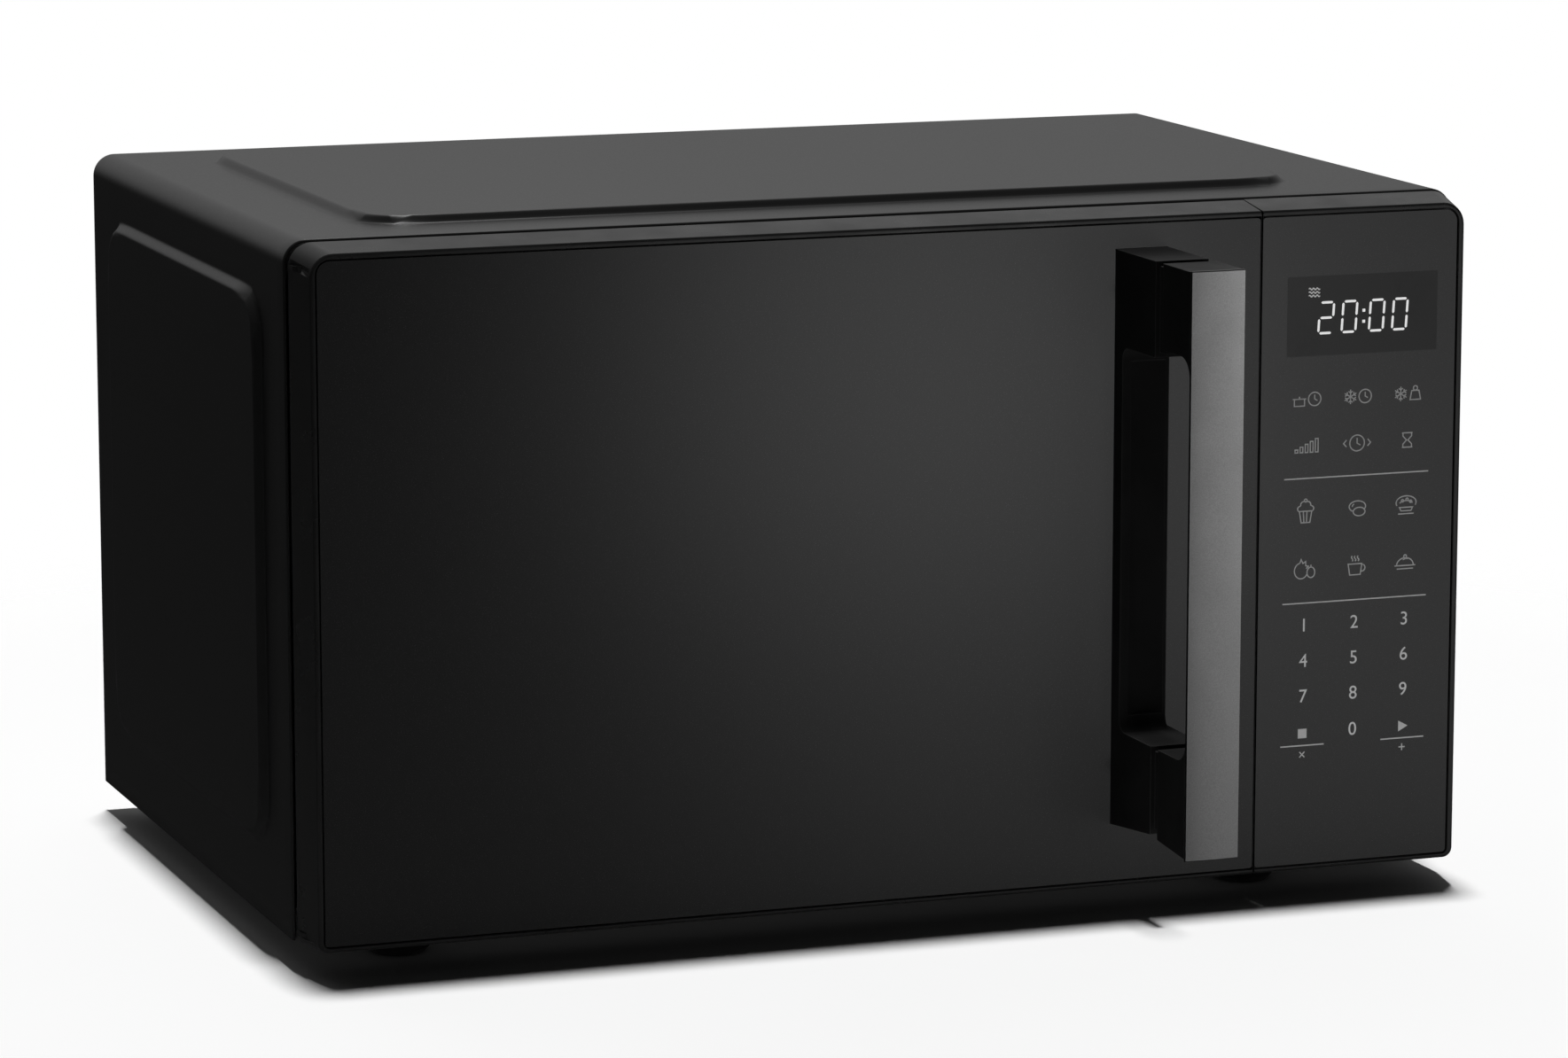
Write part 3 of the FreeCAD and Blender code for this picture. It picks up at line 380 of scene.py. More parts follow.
MATERIALS = {
    "painted_cover": painted("cover_paint", 0.0105, 0.36, grain_scale=1300.0, grain=0.00002),
    "galvanised": sheet_metal("galvanised_sheet", 0.55, 0.38, (60.0, 60.0, 400.0)),
    "cavity_paint": painted("cavity_enamel", 0.40, 0.30, grain_scale=700.0, grain=0.00005, coat=0.2),
    "front_enamel": painted("front_enamel", 0.05, 0.35),
    "choke_steel": painted("choke_enamel", 0.012, 0.4),
    "frame_plastic": moulded("frame_plastic", 0.012, 0.30, texture=0.00001),
    "matte_black": moulded("matte_plastic", 0.004, 0.50, texture=0.00004),
    # The handle's sharp edges get a painted highlight through edge.
    "handle_plastic": moulded("handle_plastic", 0.012, 0.42, gloss=0.12, edge=0.05),
    "inner_trim": moulded("inner_trim_plastic", 0.012, 0.42),
    "black_glass": dark_glass("black_glass", 0.5),
    "panel_glass": dark_glass("panel_glass", 0.6),
    "display_filter": moulded("display_filter", 0.003, 0.24, 0.000005, texture_scale=900.0, gloss=0.45),
    "clear_film": clear_glass("clear_film", (0.92, 0.95, 0.95, 1.0), 0.05),
    "tray_glass": clear_glass("tray_glass", (0.93, 0.97, 0.965, 1.0), 0.02),
    "lamp_glass": clear_glass("lamp_glass", (1.0, 0.97, 0.88, 1.0), 0.08),
    "strip_metal": brushed_strip(),
    "screw_steel": sheet_metal("screw_steel", 0.55, 0.28, (700.0, 700.0, 700.0)),
    "hinge_steel": moulded("hinge_steel", 0.010, 0.36),
    "spring_steel": sheet_metal("spring_steel", 0.4, 0.3, (900.0, 900.0, 900.0)),
    "foot_rubber": rubber("foot_rubber"),
    "white_plastic": moulded("white_nylon", 0.62, 0.45, texture_scale=1200.0, warmth=0.02),
    "grey_plastic": moulded("grey_plastic", 0.20, 0.45),
    "board_green": circuit_board(),
    "sensor_film": moulded("sensor_film", 0.03, 0.3, texture=0.00001, texture_scale=900.0, warmth=0.25),
    "mica": mica_sheet(),
    "copper_tube": sheet_metal("copper", 0.42, 0.32, (90.0, 500.0, 500.0), warmth=0.35),
    "magnet_black": moulded("ferrite", 0.02, 0.6, texture=0.00008),
    "core_steel": sheet_metal("laminations", 0.22, 0.45, (30.0, 1500.0, 30.0)),
    "winding_wire": coiled_wire(),
    "can_aluminium": sheet_metal("raw_aluminium", 0.62, 0.34, (60.0, 600.0, 600.0)),
    "motor_steel": sheet_metal("motor_can", 0.48, 0.33, (80.0, 80.0, 600.0)),
    "bakelite": moulded("bakelite", 0.03, 0.4, texture_scale=900.0, warmth=0.4),
}

HANDLE_MOULDINGS = ("handle_base", "handle_lower_block", "handle_upper_block")
OWN_FINISH = {name: "handle_plastic" for name in HANDLE_MOULDINGS}
OWN_FINISH["control_glass"] = "panel_glass"
slot_of_node = {part["node"]: part["material_slot"] for part in frame["record"]["subparts"]}
for node_name, node in nodes.items():
    node.data.materials.clear()
    node.data.materials.append(MATERIALS[OWN_FINISH.get(node_name, slot_of_node[node_name])])


# ---------- stamped cover ----------

STAMP = 3.0 * MM
COVER_CORNER = 9.0 * MM


def smooth_step(value):
    value = min(max(value, 0.0), 1.0)
    return value * value * (3 - 2 * value)


def field_distance(across, along, low, high, corner):
    """Signed distance, positive inside, from the edge of a rectangle with rounded corners."""
    half_across = (high[0] - low[0]) / 2
    half_along = (high[1] - low[1]) / 2
    dx = abs(across - (low[0] + high[0]) / 2) - (half_across - corner)
    dy = abs(along - (low[1] + high[1]) / 2) - (half_along - corner)
    outside = math.hypot(max(dx, 0.0), max(dy, 0.0)) + min(max(dx, dy), 0.0) - corner
    return -outside


def spaced(low, high, dense_bands, coarse, fine):
    """Positions from low to high: fine steps inside the dense bands, coarse steps elsewhere."""
    places = [low]
    while places[-1] < high - 1e-9:
        here = places[-1]
        dense = any(start - fine <= here < stop for start, stop in dense_bands)
        step = fine if dense else coarse
        if not dense:
            ahead = [start for start, stop in dense_bands if here < start < here + coarse]
            if ahead:
                step = min(ahead) - here
        places.append(min(here + max(step, fine / 4), high))
    return places


def build_cover():
    """The wrapped sheet: left side, top and right side in one run, with the stamped fields raised from it."""
    low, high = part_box("cabinet_cover")
    corner = COVER_CORNER
    half = high.x - STAMP
    top = high.z - STAMP
    bottom, front, back = low.z, low.y, high.y
    radius = 22.0 * MM
    slope = 4.0 * MM
    roll = 1.0 * MM
    top_low, top_high = (-202 * MM, -74.5 * MM), (191 * MM, 163 * MM)
    side_low, side_high = (40.5 * MM, -74.5 * MM), (258.5 * MM, 163 * MM)
    bead_height = 18.5 * MM
    bead_half_width = 1.4 * MM

    side_run = top - corner - bottom
    arc_run = corner * math.pi / 2
    top_run = 2 * (half - corner)
    total = 2 * side_run + 2 * arc_run + top_run

    def section(run):
        """Point, outward normal and zone on the cross-section, at a distance along it from the left hem."""
        if run > total / 2:
            (x, z), (nx, nz), zone = section(total - run)
            return (-x, z), (-nx, nz), zone
        if run <= side_run:
            return (-half, bottom + run), (-1.0, 0.0), "side"
        run -= side_run
        if run <= arc_run:
            angle = math.degrees(math.pi - run / corner)
            centre = (-half + corner, top - corner)
            return on_circle(centre, corner, angle), on_circle((0, 0), 1, angle), "bend"
        return (-half + corner + run - arc_run, top), (0.0, 1.0), "top"

    dense = [(side_low[0] - bottom - 1 * MM, side_low[0] - bottom + radius * 0.6),
             (side_high[0] - bottom - radius * 0.6, side_run + arc_run + 1 * MM)]
    top_start = side_run + arc_run - (-half + corner)
    dense += [(top_start + top_low[0] - 1 * MM, top_start + top_low[0] + radius * 0.6),
              (top_start + top_high[0] - radius * 0.6, top_start + top_high[0] + 1 * MM)]
    dense += [(total - stop, total - start) for start, stop in dense[:2]]
    runs = spaced(0.0, total, sorted(dense), 8 * MM, 0.65 * MM)
    front_dense = (top_low[1] - 1 * MM, top_low[1] + radius * 0.6)
    back_dense = (top_high[1] - radius * 0.6, top_high[1] + 1 * MM)
    depths = [front + roll * (1 - math.cos(math.radians(15 * step))) for step in range(6)]
    depths += spaced(front + roll, back, [front_dense, back_dense], 9 * MM, 0.65 * MM)

    def lift(x, y, z, zone):
        """How far the stamped fields and the hem bead raise the sheet, or its rolled front edge lowers it."""
        if y - front < roll:
            return -(roll - math.sqrt(max(roll ** 2 - (roll - (y - front)) ** 2, 0.0)))
        if zone == "top":
            distance = field_distance(x, y, top_low, top_high, radius)
        elif zone == "side":
            distance = field_distance(z, y, side_low, side_high, radius)
            bead = abs(z - bead_height)
            if bead < bead_half_width and front + 30 * MM < y < back - 20 * MM:
                return 0.5 * MM * smooth_step(1 - bead / bead_half_width)
        else:
            return 0.0
        return STAMP * smooth_step(distance / slope)

    vertices = []
    for run in runs:
        (x, z), (nx, nz), zone = section(run)
        for y in depths:
            up = lift(x, y, z, zone)
            vertices.append((x + nx * up, y, z + nz * up))
    columns = len(depths)
    faces = []
    for i in range(len(runs) - 1):
        for j in range(columns - 1):
            a = i * columns + j
            faces.append((a, a + columns, a + columns + 1, a + 1))
    cover = link_mesh("cover_shell", vertices, faces)
    thicken(cover, 1.0 * MM, -1.0)
    return finish_piece(cover, "root", "painted_cover")


def build_rear_flange():
    """The cover's turned-in rear edge."""
    low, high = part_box("cabinet_cover")
    setback = 0.4 * MM
    half = high.x - STAMP - setback
    top = high.z - STAMP - setback
    corner = COVER_CORNER
    width = 12.0 * MM
    steps = 8
    centre = (corner - half, top - corner)
    bend = [on_circle(centre, corner, 180 - 90 * step / steps) for step in range(steps + 1)]
    outer = [(-half, low.z)] + bend
    inner = [(width - half, low.z)] + [(width - half, top - width)] * len(bend)
    outer += [(-x, z) for x, z in reversed(outer)]
    inner += [(-x, z) for x, z in reversed(inner)]
    y = high.y - 1.0 * MM
    vertices = [(x, y, z) for x, z in outer] + [(x, y, z) for x, z in inner]
    count = len(outer)
    faces = [(index, index + 1, count + index + 1, count + index) for index in range(count - 1)]
    flange = link_mesh("cover_rear_flange", vertices, faces, False)
    weld(flange)
    thicken(flange, 0.95 * MM, 0.0)
    finish_piece(flange, "root", "painted_cover")


cover_piece = build_cover()
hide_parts("cabinet_cover")
build_rear_flange()


# ---------- door screen and latch spring ----------

def box_faces(bm, low, high):
    """A closed box between two corners."""
    corners = [bm.verts.new((x, y, z))
               for x in (low[0], high[0]) for y in (low[1], high[1]) for z in (low[2], high[2])]
    for quad in ((0, 1, 3, 2), (4, 6, 7, 5), (0, 4, 5, 1), (2, 3, 7, 6), (0, 2, 6, 4), (1, 5, 7, 3)):
        bm.faces.new([corners[index] for index in quad])


def build_choke_frame():
    """Folded steel pan with a slotted choke wall, its window a sheet of punched holes."""
    low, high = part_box("door_choke_frame")
    sheet = 1.0 * MM
    window_low = Vector((low.x + 25 * MM, 0, low.z + 24 * MM))
    window_high = Vector((high.x - 34 * MM, 0, high.z - 29 * MM))
    bm = bmesh.new()
    front = low.y + sheet
    for x0, x1, z0, z1 in ((low.x, window_low.x, low.z, high.z), (window_high.x, high.x, low.z, high.z),
                           (window_low.x, window_high.x, low.z, window_low.z),
                           (window_low.x, window_high.x, window_high.z, high.z)):
        box_faces(bm, (x0, low.y, z0), (x1, front, z1))

    def wall(x0, x1, z0, z1, depth):
        box_faces(bm, (x0, front, z0), (x1, depth, z1))

    tooth, gap = 14.0 * MM, 4.0 * MM
    root = front + 2.5 * MM

    def teeth(start, stop):
        """Where the teeth of a wall begin: an even row, centred between start and stop."""
        count = int((stop - start) / (tooth + gap))
        first = (stop + start - count * (tooth + gap) + gap) / 2
        return [first + index * (tooth + gap) for index in range(count)]

    for x in (low.x, high.x - sheet):
        wall(x, x + sheet, low.z, high.z, root)
        for z in teeth(low.z, high.z):
            box_faces(bm, (x, root, z), (x + sheet, high.y, z + tooth))
    for z in (low.z, high.z - sheet):
        wall(low.x + sheet, high.x - sheet, z, z + sheet, root)
        for x in teeth(low.x + sheet, high.x - sheet):
            box_faces(bm, (x, root, z), (x + tooth, high.y, z + sheet))
    for x in (window_low.x, window_high.x - sheet):
        wall(x, x + sheet, window_low.z, window_high.z, high.y)
    for z in (window_low.z, window_high.z - sheet):
        wall(window_low.x + sheet, window_high.x - sheet, z, z + sheet, high.y)
    pan = from_bmesh("door_choke_pan", bm)
    finish_piece(pan, "door", "choke_steel")
    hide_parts("door_choke_frame")
    return window_low, window_high, low.y


def build_screen(window_low, window_high, plane):
    """The window's screen: a thin sheet with a regular grid of round holes."""
    pitch, hole = 4.0 * MM, 1.45 * MM
    across = int((window_high.x - window_low.x) / pitch)
    up = int((window_high.z - window_low.z) / pitch)
    wide = (window_high.x - window_low.x) / across
    tall = (window_high.z - window_low.z) / up
    square = [(1, 0), (1, 1), (0, 1), (-1, 1), (-1, 0), (-1, -1), (0, -1), (1, -1)]
    vertices, faces = [], []
    for column in range(across):
        for row in range(up):
            x = window_low.x + (column + 0.5) * wide
            z = window_low.z + (row + 0.5) * tall
            first = len(vertices)
            outline = [(x + sx * wide / 2, z + sz * tall / 2) for sx, sz in square]
            outline += [on_circle((x, z), hole, turn * 45) for turn in range(8)]
            vertices += [(across_x, plane, up_z) for across_x, up_z in outline]
            for turn in range(8):
                after = (turn + 1) % 8
                faces.append((first + turn, first + after, first + 8 + after, first + 8 + turn))
    screen = link_mesh("door_screen", vertices, faces, False)
    weld(screen, outward=False)
    thicken(screen, 0.5 * MM, 1.0)
    finish_piece(screen, "door", "choke_steel")


def build_latch_spring():
    """A compression spring of round wire with closed, flattened end turns."""
    low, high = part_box("latch_spring")
    wire = 0.35 * MM
    centre = (low + high) / 2
    radius = (high.x - low.x) / 2 - wire
    turns = 5.5
    end_turn = 0.9
    curve = bpy.data.curves.new("latch_coil", "CURVE")
    curve.dimensions = "3D"
    curve.bevel_depth = wire
    curve.bevel_resolution = 3
    curve.use_fill_caps = True
    spline = curve.splines.new("POLY")
    count = int(turns * 20)
    spline.points.add(count)
    for index in range(count + 1):
        turn = index / count * turns
        climb = min(max((turn - end_turn) / (turns - 2 * end_turn), 0.0), 1.0)
        first_turn = min(turn, end_turn) / end_turn
        last_turn = max(turn - (turns - end_turn), 0.0) / end_turn
        level = wire + 2 * wire * (first_turn + last_turn) + climb * ((high.z - low.z) - 6 * wire)
        spline.points[index].co = (*on_circle(centre, radius, turn * 360), low.z + level, 1.0)
    mesh = mesh_of(curve)
    for polygon in mesh.polygons:
        polygon.use_smooth = True
    coil = add_object("latch_coil", mesh)
    finish_piece(coil, "door", "spring_steel")
    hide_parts("latch_spring")
    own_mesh(coil)


build_screen(*build_choke_frame())
build_latch_spring()


# ---------- front frames ----------

SIDE_TAPER = 3.6 * MM
HINGE_LEAVES = {"lower_hinge": 15.6 * MM, "upper_hinge": 270.6 * MM}
LEAF = 1.8 * MM
DOOR_AXIS = next(joint for joint in frame["joints"] if joint["name"] == "door_hinge")["pos_m"]


def rounded_loop(bounds, radii, y, steps=8):
    """Points round a rectangle seen from the front. Bounds are left, right, bottom and top; radii are those
    of the corners bottom left, bottom right, top right and top left."""
    left, right, bottom, top = bounds
    corners = (((left, bottom), (1, 1), 180), ((right, bottom), (-1, 1), 270),
               ((right, top), (-1, -1), 0), ((left, top), (1, -1), 90))
    points = []
    for ((x, z), (sx, sz), start), radius in zip(corners, radii):
        for step in range(steps + 1):
            centre = (x + sx * radius, z + sz * radius)
            across, up = on_circle(centre, radius, start + 90 * step / steps)
            points.append((across, y, up))
    return points


def frame_ring(name, node, glass_node, on_left, pocket, window):
    """A moulded front frame: tapered outside, rounded lip, groove, glass ledge and pocket behind it.
    Its outer side is the left one for the door and the right one for the control panel."""
    low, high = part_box(node)
    glass_low, glass_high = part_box(glass_node)
    back, front = high.y, low.y
    lip = 0.8 * MM
    groove = 0.55 * MM
    groove_round = 0.3 * MM
    split_radius = 0.3 * MM
    outer_top, outer_bottom = 9.0 * MM, 4.0 * MM
    glass_top, glass_bottom = 5.6 * MM, 2.1 * MM
    pane_rest = glass_high.y + 0.2 * MM
    ledge_back = pane_rest + 1.8 * MM
    inner_radii = (3 * MM,) * 4

    def inset(bounds, outer_side, bottom, top):
        left, right = (outer_side, 0.0) if on_left else (0.0, outer_side)
        return (bounds[0] + left, bounds[1] - right, bounds[2] + bottom, bounds[3] - top)

    def radii(top, bottom):
        split = split_radius
        return (bottom, split, split, top) if on_left else (split, bottom, top, split)

    outside = (low.x, high.x, low.z, high.z)
    split_wall = 0.06 * MM
    recess = (glass_low.x - groove if on_left else low.x + split_wall,
              high.x - split_wall if on_left else glass_high.x + groove,
              glass_low.z - groove, glass_high.z + groove)
    loops = [(pocket, inner_radii, back)]
    for angle in (0, 30, 60, 90):
        sink = lip * (1 - math.sin(math.radians(angle)))
        step = lip * (1 - math.cos(math.radians(angle)))
        loops.append((inset(outside, sink, sink * 0.3, sink), radii(outer_top, outer_bottom), back - step))
    for angle in (0, 30, 60, 90):
        sink = lip * (1 - math.cos(math.radians(angle)))
        step = lip * (1 - math.sin(math.radians(angle)))
        part = (back - front - step) / (back - front)
        bounds = inset(outside, SIDE_TAPER * part + sink, sink, 2.5 * MM * part + sink)
        loops.append((bounds, radii(outer_top - sink, outer_bottom - sink), front + step))
    loops += [(inset(recess, -groove_round, -groove_round, -groove_round),
               radii(glass_top + groove_round, glass_bottom + groove_round), front),
              (recess, radii(glass_top, glass_bottom), front + groove_round),
              (recess, radii(glass_top, glass_bottom), pane_rest),
              (window, inner_radii, pane_rest),
              (window, inner_radii, ledge_back),
              (pocket, inner_radii, ledge_back)]
    vertices = []
    for bounds, corners, y in loops:
        vertices += rounded_loop(bounds, corners, y)
    piece = link_mesh(name, vertices, ring_faces(len(loops), len(vertices) // len(loops), True))
    weld(piece, crease=35)
    return piece


def apply_modifiers(piece):
    bpy.context.view_layer.update()
    mesh = bpy.data.meshes.new_from_object(piece.evaluated_get(bpy.context.evaluated_depsgraph_get()))
    piece.modifiers.clear()
    piece.data = mesh


def settle_normals(piece):
    """Keeps the large faces flat in the shading and leaves the rounding to the narrow faces between them."""
    for polygon in piece.data.polygons:
        polygon.use_smooth = True
    weighted = piece.modifiers.new("flat_faces", "WEIGHTED_NORMAL")
    weighted.mode = "FACE_AREA"
    weighted.weight = 50
    weighted.keep_sharp = True
    apply_modifiers(piece)


def cut_with(piece, cutters):
    """Takes closed cutter meshes away from a piece."""
    for cutter in cutters:
        tool = piece.modifiers.new("cut", "BOOLEAN")
        tool.operation = "DIFFERENCE"
        tool.solver = "EXACT"
        tool.object = cutter
    apply_modifiers(piece)
    for cutter in cutters:
        bpy.data.objects.remove(cutter)


def build_door_frame():
    """The door's frame, with slots that let the fixed hinge leaves stand still while it turns: each slot is a
    disc round the axis and a way out to the rear."""
    trim_low, trim_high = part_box("choke_cover")
    gap = 0.5 * MM
    pocket = (trim_low.x - gap, trim_high.x + gap, trim_low.z - gap, trim_high.z + gap)
    window = (-222 * MM, 140 * MM, 22 * MM, 268 * MM)
    piece = frame_ring("door_moulding", "door_frame", "door_glass", True, pocket, window)
    swing, play = 6.6 * MM, 0.4 * MM
    x, y, _ = DOOR_AXIS
    disc = [on_circle(DOOR_AXIS, swing, angle) for angle in range(0, 360, 10)]
    outward, inward, rearward = 10 * MM, 6 * MM, 8 * MM
    cutters = []
    for leaf in HINGE_LEAVES.values():
        bottom, top = leaf - play, leaf + LEAF + play
        cutters.append(from_bmesh("cutter", upright_block(disc, bottom, top)))
        way_out = bmesh.new()
        box_faces(way_out, (x - outward, y, bottom), (x + inward, y + rearward, top))
        bmesh.ops.recalc_face_normals(way_out, faces=way_out.faces)
        cutters.append(from_bmesh("cutter", way_out))
    cut_with(piece, cutters)
    settle_normals(piece)
    finish_piece(piece, "door", "frame_plastic")
    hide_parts("door_frame")


def build_control_frame():
    low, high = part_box("control_frame")
    pocket = (low.x + 2.3 * MM, high.x - 3.2 * MM, low.z + 4.5 * MM, high.z - 5.0 * MM)
    window = (157 * MM, 230 * MM, 40 * MM, 255 * MM)
    piece = frame_ring("control_moulding", "control_frame", "control_glass", False, pocket, window)
    settle_normals(piece)
    finish_piece(piece, "root", "frame_plastic")
    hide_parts("control_frame")


def build_hinge_eyes():
    """The round black ends of the hinge leaves, which fill the slots in the door's edge while it is shut."""
    front_left, back_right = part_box("door_frame")
    radius, extra, skin = 6.35 * MM, 0.3 * MM, 0.15 * MM
    for name, z in HINGE_LEAVES.items():
        outline = []
        for angle in range(0, 360, 6):
            x, y = on_circle(DOOR_AXIS, radius, angle)
            depth = (back_right.y - y) / (back_right.y - front_left.y)
            outline.append((max(x, front_left.x + skin + SIDE_TAPER * depth), y))
        eye = from_bmesh(name + "_eye", upright_block(outline, z - extra, z + LEAF + extra))
        finish_piece(eye, "root", "hinge_steel")


def build_handle_strip():
    """The metal strip on the handle's front, its face very slightly crowned from side to side."""
    low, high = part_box("handle_strip")
    crown = 0.55 * MM
    edge = 0.35 * MM
    columns = 17
    half = (high.x - low.x) / 2
    middle = (high.x + low.x) / 2
    profile = []
    for index in range(columns):
        across = -1 + 2 * index / (columns - 1)
        x = middle + across * (half - edge * 0.35)
        profile.append((x, low.y + crown * across ** 2))
    profile = [(low.x, low.y + crown + edge)] + profile + [(high.x, low.y + crown + edge)]
    profile += [(high.x, high.y), (low.x, high.y)]
    count = len(profile)
    levels = [(low.z, edge), (low.z + edge, 0.0), (high.z - edge, 0.0), (high.z, edge)]
    vertices = []
    for z, sink in levels:
        for x, y in profile:
            pulled = min(y + sink, high.y) if y < low.y + crown + edge / 2 else y
            vertices.append((x, pulled, z))
    faces = ring_faces(len(levels), count, False)
    faces.append(tuple(reversed(range(count))))
    faces.append(tuple((len(levels) - 1) * count + index for index in range(count)))
    strip = link_mesh("strip_face", vertices, faces)
    weld(strip, crease=25)
    settle_normals(strip)
    finish_piece(strip, "door", "strip_metal")
    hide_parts("handle_strip")
    return strip


# ---------- control panel prints ----------

PRINT = 0.05 * MM
STROKE = 0.46 * MM


class Pen:
    """Draws flat shapes in a plane facing -Y, in millimetres right (x) and up (z) of an origin."""

    def __init__(self, plane_y):
        self.bm = bmesh.new()
        self.y = plane_y
        self.origin = (0.0, 0.0)

    def at(self, x, z):
        self.origin = (x, z)
        return self

    def corner(self, point):
        return self.bm.verts.new((self.origin[0] + point[0] * MM, self.y, self.origin[1] + point[1] * MM))

    def fill(self, points):
        self.bm.faces.new([self.corner(point) for point in points])

    def stroke(self, points, closed=False, width=STROKE / MM):
        """A ribbon of even width along the points, mitred at the corners."""
        count = len(points)
        left, right = [], []
        for index, point in enumerate(points):
            before = points[index - 1] if (closed or index > 0) else point
            after = points[(index + 1) % count] if (closed or index < count - 1) else point
            first = Vector(point) - Vector(before)
            second = Vector(after) - Vector(point)
            first = first.normalized() if first.length else second.normalized()
            second = second.normalized() if second.length else first
            along = (first + second).normalized() if (first + second).length > 1e-6 else first
            across = Vector((-along.y, along.x))
            reach = width / 2 / max(across.dot(Vector((-first.y, first.x))), 0.4)
            left.append(self.corner(Vector(point) + across * reach))
            right.append(self.corner(Vector(point) - across * reach))
        spans = count if closed else count - 1
        for index in range(spans):
            after = (index + 1) % count
            self.bm.faces.new((left[index], left[after], right[after], right[index]))

    def arc(self, centre, radius, start=0, stop=360, flat=1.0, steps=20):
        """Points on an arc, in degrees from the right, going up; flat squashes its height."""
        turns = [start + (stop - start) * index / steps for index in range(steps + 1)]
        points = [on_circle((0, 0), radius, turn) for turn in turns]
        return [(centre[0] + x, centre[1] + z * flat) for x, z in points]

    def ring(self, centre, radius, flat=1.0):
        self.stroke(self.arc(centre, radius, 0, 360, flat, 28)[:-1], True)

    def text(self, words, size):
        """Generic numerals, centred on the origin."""
        curve = bpy.data.curves.new("numerals", "FONT")
        curve.body = words
        curve.size = size * MM
        curve.align_x, curve.align_y = "CENTER", "CENTER"
        mesh = mesh_of(curve)
        for vertex in mesh.vertices:
            vertex.co = (self.origin[0] + vertex.co.x, self.y, self.origin[1] + vertex.co.y)
        self.bm.from_mesh(mesh)
        bpy.data.meshes.remove(mesh)

    def piece(self, name, material):
        """The drawn shapes as one piece of ink on the control glass."""
        bmesh.ops.remove_doubles(self.bm, verts=self.bm.verts, dist=1e-7)
        self.bm.normal_update()
        facing = [face for face in self.bm.faces if face.normal.y > 0]
        bmesh.ops.reverse_faces(self.bm, faces=facing)
        drawn = from_bmesh(name, self.bm)
        thicken(drawn, PRINT, 1.0)
        finish_piece(drawn, "root", "black_glass", material)


def small_clock(pen):
    pen.ring((3.2, 0), 2.7)
    pen.stroke([(3.2, 1.7), (3.2, 0), (4.4, -0.7)])


def wave_rows(pen, rows, half_width, swell):
    for level in rows:
        pen.stroke([(-half_width + 2 * half_width * t / 24, level + swell * math.sin(math.pi * t / 4))
                    for t in range(25)])


def snowflake(pen, centre, reach):
    for turn in range(3):
        angle = 30 + 60 * turn
        tip = Vector(on_circle((0, 0), reach, angle))
        middle = Vector(centre)
        pen.stroke([tuple(middle - tip), tuple(middle + tip)])
        for end in (-1, 1):
            fork = middle + tip * 0.55 * end
            for lean in (-55, 55):
                branch = Vector(on_circle((0, 0), reach * 0.38, angle + lean))
                pen.stroke([tuple(fork), tuple(fork + branch * end)])


def cooking_time(pen):
    pen.stroke([(-5.6, -2.6), (-5.6, 0.2), (-1.2, 0.2), (-1.2, -2.6)], True)
    pen.stroke([(-6.3, 0.2), (-0.5, 0.2)])
    pen.stroke([(-3.4, 0.2), (-3.4, 1.2)])
    small_clock(pen)


def time_defrost(pen):
    snowflake(pen, (-3.2, 0), 2.9)
    small_clock(pen)


def weight_defrost(pen):
    snowflake(pen, (-3.2, 0), 2.9)
    pen.stroke([(0.9, -2.5), (1.6, 1.1), (4.8, 1.1), (5.5, -2.5)], True)
    pen.ring((3.2, 2.1), 0.9)


def power_level(pen):
    for index in range(5):
        height = 1.2 + index * 1.05
        left = -5.0 + index * 2.2
        right = left + 1.2
        pen.stroke([(left, -2.6), (left, -2.6 + height), (right, -2.6 + height), (right, -2.6)], True)


def clock_setting(pen):
    pen.ring((0, 0), 3.2)
    pen.stroke([(0, 2.0), (0, 0), (1.5, -0.9)])
    for end in (-1, 1):
        pen.stroke([(end * 4.6, -1.4), (end * 5.9, 0), (end * 4.6, 1.4)])


def kitchen_timer(pen):
    pen.stroke([(-2.3, 2.9), (2.3, 2.9)])
    pen.stroke([(-2.3, -2.9), (2.3, -2.9)])
    pen.stroke([(-1.9, 2.9), (-1.9, 1.6), (-0.3, 0), (-1.9, -1.6), (-1.9, -2.9)])
    pen.stroke([(1.9, 2.9), (1.9, 1.6), (0.3, 0), (1.9, -1.6), (1.9, -2.9)])


def cupcake(pen):
    pen.stroke([(-2.7, 0.4), (-1.9, -4.2), (1.9, -4.2), (2.7, 0.4)], True)
    for start in (-1.0, 0.6):
        pen.stroke([(start, 0.4), (start * 0.7, -4.2)])
    left = pen.arc((-2.4, 1.4), 1.1, 250, 100, 1, 8) + pen.arc((-0.9, 3.0), 1.3, 190, 90, 1, 6)
    right = pen.arc((0.9, 3.0), 1.3, 90, -10, 1, 6) + pen.arc((2.4, 1.4), 1.1, 80, -70, 1, 8)
    pen.stroke([(-2.7, 0.4)] + left + right + [(2.7, 0.4)])
    pen.ring((0, 4.7), 0.6)


def potatoes(pen):
    pen.stroke(pen.arc((0.6, 1.0), 3.6, -40, 230, 0.62, 22) + [(-2.0, -0.8)])
    pen.stroke(pen.arc((1.4, -1.1), 2.6, 0, 360, 0.66, 26)[:-1], True)
    pen.stroke(pen.arc((-0.4, 1.2), 1.2, 110, 200, 0.7, 6))


def pizza(pen):
    pen.stroke(pen.arc((0, 1.3), 4.4, -25, 205, 0.62, 26))
    pen.stroke(pen.arc((0, 0.6), 3.0, 20, 160, 0.5, 14))
    pen.stroke([(-2.9, -0.6), (2.9, -0.6), (2.2, -2.0), (-2.2, -2.0)], True)
    pen.stroke([(-3.4, -3.2), (3.4, -3.2)])
    for spot in ((-1.6, 2.1), (0.4, 2.6), (2.0, 1.7)):
        pen.ring(spot, 0.5)


